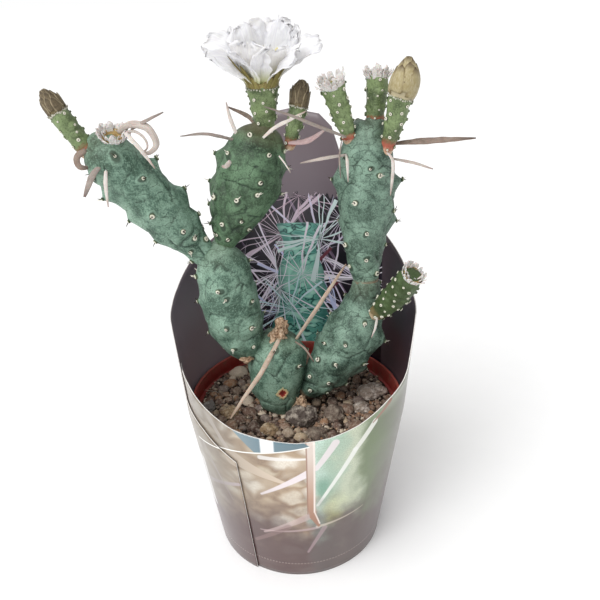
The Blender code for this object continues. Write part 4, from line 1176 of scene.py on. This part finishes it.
def relief(stem, spots, reach, groove, seed):
    """Lift of the skin and its crease and crown masks from tubercles at the spots."""
    skin = stem.surface(0.0)
    drift, sway = (np.array([[noise.noise(Vector(p * 0.16) + shift) for p in ring] for ring in skin])
                   for shift in (Vector((seed, 0.0, 0.0)), Vector((0.0, seed, 40.0))))
    near = np.full((len(stem.distance), len(stem.angles)), 1e3)
    second = near.copy()
    rise = np.zeros_like(near)
    for distance, angle, height in spots:
        ahead = (stem.distance - distance)[:, None] + TUBERCLE_STRAY * reach * drift
        ahead = np.where(ahead > 0, ahead * TUBERCLE_AHEAD, ahead * TUBERCLE_BEHIND)
        side = (stem.angles[None, :] - angle + math.pi) % math.tau - math.pi
        gap = np.hypot(ahead, side * np.maximum(stem.radius, 1.0)[:, None] + TUBERCLE_STRAY * reach * sway)
        closer = gap < near
        second = np.where(closer, near, np.minimum(second, gap))
        rise = np.where(closer, height, rise)
        near = np.where(closer, gap, near)
    fade = np.clip(0.50 + 2.2 * sway, 0.0, 1.0)
    border = second - near
    # crease marks the grooves between tubercles, where painted shade goes
    crease = np.exp(-(border / CREASE_WIDTH) ** 2) * fade
    bump = rise * np.clip(1.0 - near / reach, 0.0, 1.0) ** 1.4
    swell = 0.06 * reach * (1.0 - np.exp(-border / 3.0))
    lift = bump + swell - groove * np.exp(-(border / GROOVE_WIDTH) ** 2) * (0.2 + 0.8 * fade) + 0.2 * drift
    ends = np.clip(stem.radius / (0.55 * stem.radius.max()), 0.0, 1.0)[:, None] ** 1.5
    # crown marks the ring round each areole that takes a painted highlight and a painted shadow
    crown = np.clip(1.0 - near / (0.45 * reach), 0.0, 1.0) ** 1.2
    return lift * ends, crease * ends, crown


def tuft(heap, place, out, along, radius, dice):
    """A tuft of wool: a lumpy ring round a sunken heart."""
    side = np.cross(out, along)

    def spot(reach, height, turn):
        push = radius * reach * (1.0 + 0.22 * (dice.random() - 0.5))
        up = radius * (height + 0.18 * (dice.random() - 0.5) * (reach > 0.2))
        return place + (along * math.cos(turn) + side * math.sin(turn)) * push + out * up

    heap.dome(TUFT_RINGS, 10, spot, lambda reach: min(reach, 1.0), dice.random)


def bristle(heap, root, way, length, width, share=0.5):
    """A small tapering spine with three sides."""
    way = unit(np.asarray(way, float))
    side = unit(np.cross(way, [0.31, 0.52, 0.79]))
    other = np.cross(way, side)
    points = [root + way * length * up + (side * math.cos(a) + other * math.sin(a)) * width * half
              for up, half in ((0.0, 0.5), (0.6, 0.33)) for a in (0.0, 2.09, 4.19)]
    faces = [[0, 1, 4, 3], [1, 2, 5, 4], [2, 0, 3, 5], [3, 4, 6], [4, 5, 6], [5, 3, 6], [2, 1, 0]]
    heap.add(points + [root + way * length], faces, along=share)


def lumpy_ball(heap, centre, half_sizes, detail, seed, tone=0.0, rough=0.16):
    """A rounded, uneven stone; detail is the number of times its faces are divided."""
    ball = bmesh.new()
    bmesh.ops.create_icosphere(ball, subdivisions=detail, radius=1.0)
    shift = Vector((seed * 3.7, seed * 1.3, -seed * 2.1))
    turn = Euler((seed * 1.7, seed * 2.9, seed * 0.6)).to_matrix()
    points = []
    for corner in ball.verts:
        direction = turn @ corner.co
        swell = 1.0
        for fineness, share in LUMPS if detail > 3 else LUMPS[:2]:
            swell += share * rough * noise.noise(direction * fineness + shift)
        points.append([c + d * half * swell for c, d, half in zip(centre, direction, half_sizes)])
    faces = [[corner.index for corner in face.verts] for face in ball.faces]
    ball.free()
    heap.add(points, faces, tone=tone)


# ------------------------------------------------------------------ makers
def make_segment(name, stations, sizes, seed):
    """One stem segment: its skin, then its areoles with their small spines."""
    stem = Stem(stations, SEGMENT_RING_STEP, SEGMENT_SIDES)
    spots = tubercle_spots(stem, TUBERCLES[name], TUBERCLE_STEP, TUBERCLE_RISE, seed)
    lift, crease, crown = relief(stem, spots, TUBERCLE_REACH, sizes.groove_depth / MM, seed)
    scar = np.clip(1.0 - (stem.distance[:, None] - stem.start) / 1.6, 0.0, 1.0) + np.zeros_like(lift)
    scar = scar * (0.0 if name == "base_segment" else 0.75)
    stem.skin(name, lift - 0.45, SEGMENT_FINISHES.get(name, "stem_skin"), "stem_skin",
              crease=crease, crown=crown, scar=scar)

    wool = Heap()
    dice = random.Random(seed + 40)
    for distance, angle, height in spots:
        place, out, along = stem.at(distance, angle, 0.86 * height + 0.1)
        size = sizes.areole_radius / MM * (0.75 + 0.5 * dice.random()) * (0.62 if height < 0.7 else 1.0)
        tuft(wool, place, out, along, size, dice)
        for _ in range(dice.choice((1, 2, 2, 3))):
            lean = np.array([dice.uniform(-0.7, 0.7) for _ in range(3)])
            bristle(wool, place, out + lean + 0.35 * along, dice.uniform(1.6, 3.4), 0.56,
                    dice.choice((0.02, 0.10, 0.5)))
    wool.piece(name + "_areoles", ["areole_wool"], "paper_spine")


def make_tube(name, stations, sizes, seed):
    """One bud, fruit or flower tube: its skin, its dots of wool and what tops it."""
    stem = Stem(stations, TUBE_RING_STEP, TUBE_SIDES, 0.18 if name in ("flower_tube", "left_spent_tube") else 0.5)
    spots = tubercle_spots(stem, [], DOT_STEP, DOT_RISE, seed)
    top = BUD_SCALES[name][0] if name in BUD_SCALES else 1.0
    spots = [spot for spot in spots if stem.share(spot[0]) < top - 0.02]
    lift, crease, crown = relief(stem, spots, DOT_REACH, 0.08, seed)
    scar = np.clip(stem.share(stem.distance), 0.0, 1.0)[:, None] + np.zeros_like(lift) > top
    stem.skin(name, lift - 0.08, TUBE_FINISHES.get(name, "tube_skin"), "tube_skin",
              crease=crease, crown=crown, scar=scar)

    wool = Heap()
    dice = random.Random(seed + 70)
    for distance, angle, height in spots:
        place, out, along = stem.at(distance, angle, 0.8 * height + 0.22)
        size = sizes.dot_radius / MM * (1.12 if name == "side_fruit" else 1.0)
        tuft(wool, place, out, along, size * (0.7 + 0.7 * dice.random()), dice)
        if dice.random() < 0.5:
            bristle(wool, place, out + along * 0.8, dice.uniform(0.6, 1.3), 0.2, 0.5)
    if name not in ("small_bud", "side_fruit"):
        for step in range(26):
            angle = step * math.tau / 26
            place, out, along = stem.at(stem.start + (0.6 + 0.5 * dice.random()), angle, -0.1)
            bristle(wool, place, out + along * dice.uniform(0.6, 2.0), dice.uniform(0.7, 1.4), 0.3, 0.45)
    wool.piece(name + "_areoles", ["areole_wool"], "paper_spine")
    if name in BUD_SCALES:
        make_bud_scales(name, stem, dice)
    elif name == "flower_tube":
        make_ring(name, stem, stem.start + stem.length - 0.8, dice)


def leaf(heap, stem, distance, angle, length, width, lift, open_tip, dice):
    """A pointed scale that lies on the stem, starting at distance and running up it."""
    lean = dice.uniform(-0.08, 0.08)

    def spot(t, u):
        half = 0.5 * width * (1.0 - t ** 2.4) ** 0.75 * (0.72 + 0.28 * min(1.0, 3.0 * t))
        here = distance + length * t
        turn = angle + lean * t + u * half / max(0.9, stem.radius_at(here))
        return stem.at(here, turn, lift * (0.35 + 0.65 * t) * (1.0 - 0.55 * u * u) + open_tip * t ** 3 + 0.16)[0]

    heap.strip(9, 7, spot, lambda: dice.uniform(*TONES))


def make_bud_scales(name, stem, dice):
    """Overlapping scales round the top of a bud, in a spiral, over a ring of wool."""
    start, count, length, width = BUD_SCALES[name]
    heap = Heap()
    first = stem.start + start * stem.length
    room = stem.length * (1.0 - start)
    large = name == "large_bud"
    for index in range(count):
        t = index / (count - 1)
        shrink = 1.0 - 0.45 * t
        distance = first + room * 0.76 * t ** 1.1
        reach = min(length * shrink, first + room + 1.2 - distance)
        lift, open_tip = (0.42, 0.35) if large else (0.55, 0.65 * (1.0 - t))
        leaf(heap, stem, distance, GOLDEN_TURN * index + 0.6, reach, width * shrink, lift, open_tip, dice)
    heap.piece(name + "_scales", ["bud_scales" if large else "cap_scales"], "tube_skin", solid=0.22 * MM)
    make_ring(name, stem, first - 0.2, dice)


def make_ring(name, stem, distance, dice):
    """Ragged ring of wool and short spines round a tube."""
    ring = Heap()
    for step in range(30):
        place, out, along = stem.at(distance + dice.uniform(-0.3, 0.3), step * math.tau / 30, 0.1)
        tuft(ring, place, out, along, dice.uniform(0.28, 0.5), dice)
        bristle(ring, place, out + along * dice.uniform(0.4, 1.6), dice.uniform(0.7, 1.6), 0.3, 0.3)
    ring.piece(name + "_ring", ["areole_wool"], "paper_spine")


def make_crown(name, foot, direction, low, high, height, seed):
    """Ragged cup of dried petals standing on a spent tube."""
    dice = random.Random(seed)
    axis = unit(np.array(direction, float))
    right = unit(np.cross([0.0, 1.0, 0.0], axis))
    other = np.cross(axis, right)

    def spot(push, turn, up):
        return np.array(foot) + (right * math.cos(turn) + other * math.sin(turn)) * push + axis * up

    heap = Heap()
    for layer, (count, shrink, tall) in enumerate(CROWN_LAYERS):
        for index in range(count):
            angle = math.tau * (index + 0.5 * layer + dice.uniform(-0.2, 0.2)) / count
            wide = math.tau / count * dice.uniform(0.35, 0.62)
            top = height * tall * dice.uniform(0.6, 1.3)
            flare = dice.uniform(-0.9, 1.1)

            def petal(t, u):
                turn = angle + u * wide * (1.0 - 0.35 * t * t)
                crumple = 0.5 * noise.noise(Vector((turn * 2.2 + seed, t * 3.0, layer * 5.0)))
                up = top * t * (1.0 - 0.16 * u * u) - 0.3
                ragged = dice.uniform(-0.9, 0.4) if t == 1.0 else dice.uniform(-0.2, 0.2) * t
                radius = (low + (high - low) * t) * shrink + flare * t * t
                return spot(radius + crumple * (0.4 + 1.4 * t), turn, up + ragged)

            heap.strip(7, 5, petal, lambda: dice.uniform(*TONES), 0.9)
    heap.piece(name + "_petals", ["dry_flower"], "dry_flower", [name], 0.2 * MM)
    heart = Heap()
    heart.dome(HEART_RINGS, 24,
               lambda reach, up, turn: spot(low * reach, turn, up * height * 0.35 + 0.3 * (dice.random() - 0.5)),
               lambda reach: 0.15 + 0.5 * reach, 0.4)
    heart.piece(name + "_heart", ["dry_heart"], "dry_flower")


def make_petal(name, bearing, reach, height, bend_height, width, seed, thickness, node_name):
    """A broad ruffled petal that rises from the throat and turns outwards."""
    turn = math.radians(bearing)
    low_foot = node_name.startswith("outer") or math.sin(turn) < 0.0
    root = np.array((5.0, 0.0) if low_foot else (3.6, 0.4))
    bend = np.array((6.6, bend_height * 0.72))
    tip = np.array((reach, height))
    out = compass(turn)
    side = unit(np.array((-out[1], out[0], 0.8 * out[0] * abs(out[0]))))

    def spot(t, u):
        centre = (1 - t) ** 2 * root + 2 * t * (1 - t) * bend + t * t * tip
        slope = unit(2 * (1 - t) * (bend - root) + 2 * t * (tip - bend))
        swell = 0.30 + 0.70 * math.sin(math.pi * min(0.5, 0.10 + 0.62 * t)) ** 1.4
        rounding = math.sqrt(max(0.0, 1.0 - max(0.0, (t - 0.62) / 0.38) ** 4.0))
        half = 0.5 * width * swell * (0.36 + 0.64 * rounding)
        here = Vector((u * 1.9 + seed * 7.1, t * 2.4, seed * 3.3))
        edge = t * t * (0.3 + 0.7 * abs(u))
        ruffle = noise.noise(here) * 3.0 * t * t + noise.noise(here * 3.2) * 1.8 * edge
        cup = 0.12 * half * u * u * (1.0 - t)
        fray = (2.0 * noise.noise(Vector((u * 3.4, seed * 4.7, 0.5)))
                + 1.6 * noise.noise(Vector((u * 10.0, seed * 2.7, 3.5)))) * max(0.0, t - 0.66) / 0.34
        torn = 1.0 + 0.34 * noise.noise(Vector((t * 8.0, seed * 5.1, math.copysign(4.0, u)))) * u * u * t
        away = centre[0] + slope[0] * fray - slope[1] * (cup + ruffle)
        up = centre[1] + slope[1] * fray + slope[0] * (cup + ruffle)
        return np.array(FLOWER_CENTRE) + (out * away + side * half * u * torn + raised(up))

    heap = Heap()
    heap.strip(PETAL_ROWS, PETAL_COLUMNS, spot, float(seed))
    heap.piece(name, ["petal"], "petal", [node_name], thickness)


def make_tepals():
    """Olive, pointed outer leaves that clasp the foot of the flower, tallest at its sides."""
    dice = random.Random(12)
    for index, leaves in enumerate(TEPALS, 1):
        heap = Heap()
        for bearing, tall, reach, width in leaves:
            out = compass(math.radians(bearing))
            side = np.array((-out[1], out[0], 0.0))

            def spot(t, u):
                half = 0.5 * width * (1.0 - t ** 1.8) ** 0.85
                radius = 6.3 + reach * t ** 1.3 - 0.12 * half * u * u
                return np.array(FLOWER_CENTRE) + (out * radius + side * half * u + raised(-1.0 + tall * t))

            heap.strip(11, 7, spot, lambda: dice.uniform(*TONES))
        heap.piece(f"tepal_leaves_{index}", ["tepal"], "tepal", [f"tepal_{index}"], 0.3 * MM)


def make_flower_heart(count):
    """Stamens with their anthers, and the style with its stigma."""
    dice = random.Random(31)
    centre = np.array(FLOWER_CENTRE)
    heap = Heap()
    for index in range(count):
        spread = math.sqrt((index + 0.5) / count)
        out = compass(index * GOLDEN_TURN)
        foot = centre + out * (1.4 + 1.6 * spread) + raised(0.6)
        lean = out * (1.2 + 4.6 * spread) + raised(dice.uniform(9.5, 12.5))
        bristle(heap, foot, lean, float(np.linalg.norm(lean)), 0.36, 0.3)
        lumpy_ball(heap, foot + lean, (0.42, 0.42, 0.62), 1, index + 1.0, 0.5)
    heap.piece("stamen_tuft", ["stamen"], "stamen", ["stamens"])
    style = Heap()
    column = Stem([(*centre[:2], centre[2] + z, r) for z, r in STYLE_STATIONS], 0.5, 16)
    skin = column.surface(np.zeros((len(column.distance), 16)))
    style.add(skin, ring_faces(*skin.shape[:2]), along=0.2, tone=0.7)
    for lobe in range(6):
        turn = lobe * math.tau / 6
        tip = centre + np.array((0.9 * math.cos(turn), 0.9 * math.sin(turn), 14.0))
        lumpy_ball(style, tip, (0.6, 0.6, 0.75), 2, lobe + 0.4, 0.2)
    style.piece("style_column", ["stamen"], "stamen", ["style"])


def make_blade(index, name, look, widths, facing, points, thickness):
    """A flat papery spine: cupped across, frayed along its edges, drawn out to a tip."""
    line = smooth_line(points, 0.9)
    tangent = unit(np.gradient(line, axis=0))
    across_way = unit(np.cross(tangent, np.array(facing, float)))
    up_way = np.cross(across_way, tangent)

    def spot(t, u):
        row = round(t * (len(line) - 1))
        middle = 2.0 * widths[1] - 0.5 * (widths[0] + widths[2])
        width = (1 - t) ** 2 * widths[0] + 2 * t * (1 - t) * middle + t * t * widths[2]
        twist = 0.35 * noise.noise(Vector((t * 2.0, index * 3.1, 0.0)))
        side = across_way[row] * math.cos(twist) + up_way[row] * math.sin(twist)
        fray = 1.0 + 0.16 * noise.noise(Vector((t * 9.0, u * 0.7, index * 5.3)))
        cup = -0.16 * width * u * u + 0.14 * noise.noise(Vector((t * 7.0, u * 3.0, index * 2.3)))
        return line[row] + side * 0.5 * width * u * fray + up_way[row] * cup

    heap = Heap()
    heap.strip(len(line), 7, spot, index * 0.73 + 0.1)
    nodes = [name] if name.startswith("paper_spine") else []
    heap.piece(name + "_blade", ["paper_spine_" + look], "paper_spine", nodes, thickness)


def sleeve_radius(height, sweep):
    """Radius of the middle of the card; the outer end lies over the inner end."""
    if height < SLEEVE_KNEE:
        radius = SLEEVE_BASE_RADIUS + (SLEEVE_KNEE_RADIUS - SLEEVE_BASE_RADIUS) * height / SLEEVE_KNEE
    else:
        radius = SLEEVE_KNEE_RADIUS + SLEEVE_FLARE * (height - SLEEVE_KNEE)
    return radius + min(max((sweep - 70.0) / 260.0, 0.0), 1.0) * LAP


def make_sleeve():
    """The card rolled once round and lapped: print outside, picture inside, white cut edge."""
    sweeps = sorted(set(np.arange(0.0, SLEEVE_TOP[-1][0], 1.5)) | {float(sweep) for sweep, _ in SLEEVE_TOP})
    tops = np.interp(sweeps, *zip(*SLEEVE_TOP))
    points = []
    for row in range(SLEEVE_ROWS):
        for sweep, top in zip(sweeps, tops):
            height = top * row / (SLEEVE_ROWS - 1)
            bearing = math.radians(SEAM_START - sweep)
            dent = 0.35 * noise.noise(Vector((sweep * 0.02, height * 0.02, 4.0)))
            radius = sleeve_radius(height, sweep) + dent
            points.append((radius * math.sin(bearing), radius * math.cos(bearing), height))
    heap = Heap()
    heap.add(points, grid_faces(SLEEVE_ROWS, len(sweeps), False))
    card = heap.piece("card_sleeve_print", ["card_outside", "card_inside", "card_edge"], "printed_card",
                      ["card_sleeve"], CARD * MM)
    card.modifiers["thickness"].material_offset = 1
    card.modifiers["thickness"].material_offset_rim = 2


def make_soil():
    """Uneven bed of soil that reaches down to the pot's floor."""
    rings = [(0.0, 0.0)] + [(SOIL_RADIUS * step / 60, 0.0) for step in range(1, 61)]
    rings += [(SOIL_RADIUS - 0.6, -4.0), (36.0, 2.3 - SOIL_TOP), (0.0, 2.3 - SOIL_TOP)]
    sides = 150
    points = []
    for radius, drop in rings:
        for step in range(sides):
            x, y, _ = max(radius, 0.02) * compass(step * math.tau / sides)
            rough = 0.0
            if drop == 0.0:
                rough = 0.9 * noise.noise(Vector((x * 0.09, y * 0.09, 0.0))) \
                    + 0.7 * noise.noise(Vector((x * 0.45, y * 0.45, 3.0)))
            points.append((x, y, SOIL_TOP + drop + rough))
    heap = Heap()
    heap.add(points, ring_faces(len(rings), sides))
    heap.piece("soil_bed", ["soil"], "soil", ["soil"])


def make_pebbles(pebble_count, grit_count):
    """Pebbles over the whole bed, then finer grains that fill the gaps, and dry root bits."""
    dice = random.Random(5)
    heap, grit, straw = Heap(), Heap(), Heap()
    placed = [(x, y, max(a, b)) for (x, y, _), (a, b, _), _ in STONES.values()]
    made, tries = 0, 0
    while made < pebble_count and tries < PEBBLE_TRIES:
        tries += 1
        size = 1.6 + 3.0 * dice.random() ** 1.7
        x, y = scattered(dice, SOIL_RADIUS - size - 0.4)
        if any(math.hypot(x - a, y - b) < PEBBLE_CROWDING * (size + r) for a, b, r in placed):
            continue
        placed.append((x, y, size))
        half = (size * dice.uniform(0.8, 1.15), size * dice.uniform(0.75, 1.0), size * dice.uniform(0.6, 0.85))
        detail = 3 if size > 1.9 else 2
        lumpy_ball(heap, (x, y, SOIL_TOP + 0.35 * half[2]), half, detail, made + 2.0, dice.uniform(0.02, 1.0), 0.24)
        made += 1
    heap.piece("soil_pebbles", ["pebbles"], "stone")
    for index in range(grit_count):
        size = dice.uniform(0.4, 1.15)
        where = (*scattered(dice, SOIL_RADIUS - size), SOIL_TOP + 0.55 + 0.9 * dice.random())
        half = (size * dice.uniform(0.8, 1.3), size, size * dice.uniform(0.6, 1.0))
        lumpy_ball(grit, where, half, 1, index + 0.5, dice.uniform(0.02, 1.0), 0.6)
    grit.piece("soil_grit", ["pebbles"], "stone")
    for _ in range(STRAW_COUNT):
        root = np.array((*scattered(dice, 44.0), SOIL_TOP + 1.6))
        way = compass(dice.random() * math.tau) + raised(dice.uniform(-0.05, 0.22))
        bristle(straw, root, way, dice.uniform(3.0, 9.0), dice.uniform(0.25, 0.5), 0.4)
    straw.piece("soil_straw", ["paper_spine_tan"], "soil")


def make_stem_scars():
    """Corky tissue: the red-edged scar and woody nub on the base, and crusts at its joints."""
    heap = Heap()
    for centre, half, seed in CORK_LUMPS:
        lumpy_ball(heap, centre, half, 4, seed, 0.3, 1.0)
    heap.piece("corky_scars", ["cork"], "dry_flower")
    scar = Heap()
    dice = random.Random(77)
    stem = Stem(SEGMENTS["base_segment"], SEGMENT_RING_STEP, SEGMENT_SIDES)
    distance, angle = stem.start + 0.475 * stem.length, -math.acos(0.22)

    def spot(reach, up, turn):
        size = 2.9 * reach / (abs(math.cos(turn)) + abs(math.sin(turn))) ** 0.7
        size *= 1.0 + 0.5 * noise.noise(Vector((2.2 * math.cos(turn), 2.2 * math.sin(turn), 4.0)))
        return stem.at(distance + size * math.sin(turn), angle + size * math.cos(turn) / 12.4,
                       0.25 + 0.6 * up + 0.1 * dice.random())[0]

    scar.dome(SCAR_RINGS, 28, spot, lambda reach: reach / SCAR_RINGS[-1][0])
    scar.piece("round_scar", ["scar"], "stem_skin")


# ------------------------------------------------------------------ operators
def put(name, data):
    """New object in the scene."""
    made = bpy.data.objects.new(name, data)
    bpy.context.scene.collection.objects.link(made)
    return made


class CACTUS_OT_stage(bpy.types.Operator):
    """Make the floor, the studio light and the camera."""
    bl_idname = "cactus.stage"
    bl_label = "Stage"

    def execute(self, context):
        make_finishes(context)
        mesh = bpy.data.meshes.new("floor")
        ground = bmesh.new()
        bmesh.ops.create_grid(ground, x_segments=8, y_segments=8, size=FLOOR_HALF)
        ground.to_mesh(mesh)
        ground.free()
        mesh.materials.append(FINISHES["floor"])
        floor = put("floor", mesh)
        floor.location.z = -FLOOR_GAP * MM

        for name, kind, place, spread, share in LAMPS:
            lamp = bpy.data.lights.new(name, kind)
            if kind == "SUN":
                lamp.angle = spread
            else:
                lamp.shape = "DISK"
                lamp.size = spread
            lamp.energy = context.scene.cactus_sizes.lamp_power * share
            holder = put(name, lamp)
            holder.location = place
            holder.rotation_mode = "QUATERNION"
            holder.rotation_quaternion = (Vector(LIT_PLACE) - Vector(place)).to_track_quat("-Z", "Y")
        world = context.scene.world = bpy.data.worlds.new("studio")
        world.use_nodes = True
        Field.tree = world.node_tree
        sky = world.node_tree.nodes["Background"].inputs
        plug(sky["Color"], (1.0, 1.0, 1.0))
        plug(sky["Strength"], calc("MULTIPLY_ADD", node("LightPath")["Is Camera Ray"], 1.0 - SKY_LIGHT, SKY_LIGHT))
        context.scene.view_settings.view_transform = "Standard"

        lens = bpy.data.cameras.new("camera")
        lens.lens = CAMERA_LENS
        lens.sensor_width = CAMERA_SENSOR
        lens.clip_start = CAMERA_NEAR
        camera = context.scene.camera = put("camera", lens)
        camera.matrix_world = (Matrix.Translation(Vector(CAMERA_PLACE) * MM)
                               @ Matrix.Rotation(math.radians(90.0 - CAMERA_PITCH), 4, "X")
                               @ Matrix.Rotation(math.radians(CAMERA_ROLL), 4, "Z"))
        return {"FINISHED"}


class CACTUS_OT_pot(bpy.types.Operator):
    """Give the pot its plastic."""
    bl_idname = "cactus.pot"
    bl_label = "Pot"

    def execute(self, context):
        make_finishes(context)
        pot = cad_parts["pot"]
        pot.data.materials.clear()
        pot.data.materials.append(FINISHES["terracotta_plastic"])
        return {"FINISHED"}


class CACTUS_OT_sleeve(bpy.types.Operator):
    """Wrap the printed card round the pot."""
    bl_idname = "cactus.sleeve"
    bl_label = "Card sleeve"

    def execute(self, context):
        make_finishes(context)
        make_sleeve()
        return {"FINISHED"}


class CACTUS_OT_soil(bpy.types.Operator):
    """Fill the pot with soil, grit and stones."""
    bl_idname = "cactus.soil"
    bl_label = "Soil and stones"

    def execute(self, context):
        make_finishes(context)
        make_soil()
        for index, (name, (centre, half_sizes, look)) in enumerate(STONES.items()):
            heap = Heap()
            lumpy_ball(heap, centre, half_sizes, 5, index * 2.3 + 1.0, 0.0, 0.34)
            heap.piece(name + "_lump", ["stone_" + look], "stone", [name])
        make_pebbles(context.scene.cactus_sizes.pebble_count, context.scene.cactus_sizes.grit_count)
        return {"FINISHED"}


class CACTUS_OT_segments(bpy.types.Operator):
    """Grow the six stem segments with their tubercles and areoles."""
    bl_idname = "cactus.segments"
    bl_label = "Stem segments"

    def execute(self, context):
        make_finishes(context)
        for seed, (name, stations) in enumerate(SEGMENTS.items(), 1):
            make_segment(name, stations, context.scene.cactus_sizes, seed)
        make_stem_scars()
        return {"FINISHED"}


class CACTUS_OT_tubes(bpy.types.Operator):
    """Grow the buds, the fruit and the flower tubes."""
    bl_idname = "cactus.tubes"
    bl_label = "Buds and tubes"

    def execute(self, context):
        make_finishes(context)
        for seed, (name, stations) in enumerate(TUBES.items(), 11):
            make_tube(name, stations, context.scene.cactus_sizes, seed)
        return {"FINISHED"}


class CACTUS_OT_crowns(bpy.types.Operator):
    """Set the dried flower remains on the spent tubes and the fruit."""
    bl_idname = "cactus.crowns"
    bl_label = "Dried flowers"

    def execute(self, context):
        make_finishes(context)
        for seed, (name, shape) in enumerate(CROWNS.items(), 21):
            make_crown(name, *shape, seed)
        return {"FINISHED"}


class CACTUS_OT_flower(bpy.types.Operator):
    """Open the white flower."""
    bl_idname = "cactus.flower"
    bl_label = "Flower"

    def execute(self, context):
        make_finishes(context)
        sizes = context.scene.cactus_sizes
        for kind, petals in (("outer", OUTER_PETALS), ("inner", INNER_PETALS)):
            for index, shape in enumerate(petals, 1):
                make_petal(f"{kind}_petal_blade_{index}", *shape, sizes.petal_thickness, f"{kind}_petal_{index}")
        make_tepals()
        make_flower_heart(sizes.filament_count)
        return {"FINISHED"}


class CACTUS_OT_spines(bpy.types.Operator):
    """Set the flat papery spines."""
    bl_idname = "cactus.spines"
    bl_label = "Paper spines"

    def execute(self, context):
        make_finishes(context)
        for index, blade in enumerate(BLADES, 1):
            make_blade(index, *blade, context.scene.cactus_sizes.blade_thickness)
        return {"FINISHED"}


STEPS = (CACTUS_OT_stage, CACTUS_OT_pot, CACTUS_OT_sleeve, CACTUS_OT_soil, CACTUS_OT_segments,
         CACTUS_OT_tubes, CACTUS_OT_crowns, CACTUS_OT_flower, CACTUS_OT_spines)


class CACTUS_PT_panel(bpy.types.Panel):
    """Sizes, colours and steps of the potted cactus."""
    bl_idname = "CACTUS_PT_panel"
    bl_label = "Paper spine cactus"
    bl_space_type = "VIEW_3D"
    bl_region_type = "UI"
    bl_category = "Cactus"

    def draw(self, context):
        for group in (context.scene.cactus_sizes, context.scene.cactus_colours):
            box = self.layout.box()
            for label in group.__annotations__:
                box.prop(group, label)
        for step in STEPS:
            self.layout.operator(step.bl_idname)


CLASSES = (CactusSizes, CactusColours) + STEPS + (CACTUS_PT_panel,)


def register():
    for made in CLASSES:
        bpy.utils.register_class(made)
    bpy.types.Scene.cactus_sizes = bpy.props.PointerProperty(type=CactusSizes)
    bpy.types.Scene.cactus_colours = bpy.props.PointerProperty(type=CactusColours)


def unregister():
    del bpy.types.Scene.cactus_colours
    del bpy.types.Scene.cactus_sizes
    for made in reversed(CLASSES):
        bpy.utils.unregister_class(made)


def main():
    register()
    bpy.ops.cactus.stage()
    bpy.ops.cactus.pot()
    bpy.ops.cactus.sleeve()
    bpy.ops.cactus.soil()
    bpy.ops.cactus.segments()
    bpy.ops.cactus.tubes()
    bpy.ops.cactus.crowns()
    bpy.ops.cactus.flower()
    bpy.ops.cactus.spines()


if __name__ == "__main__":
    main()
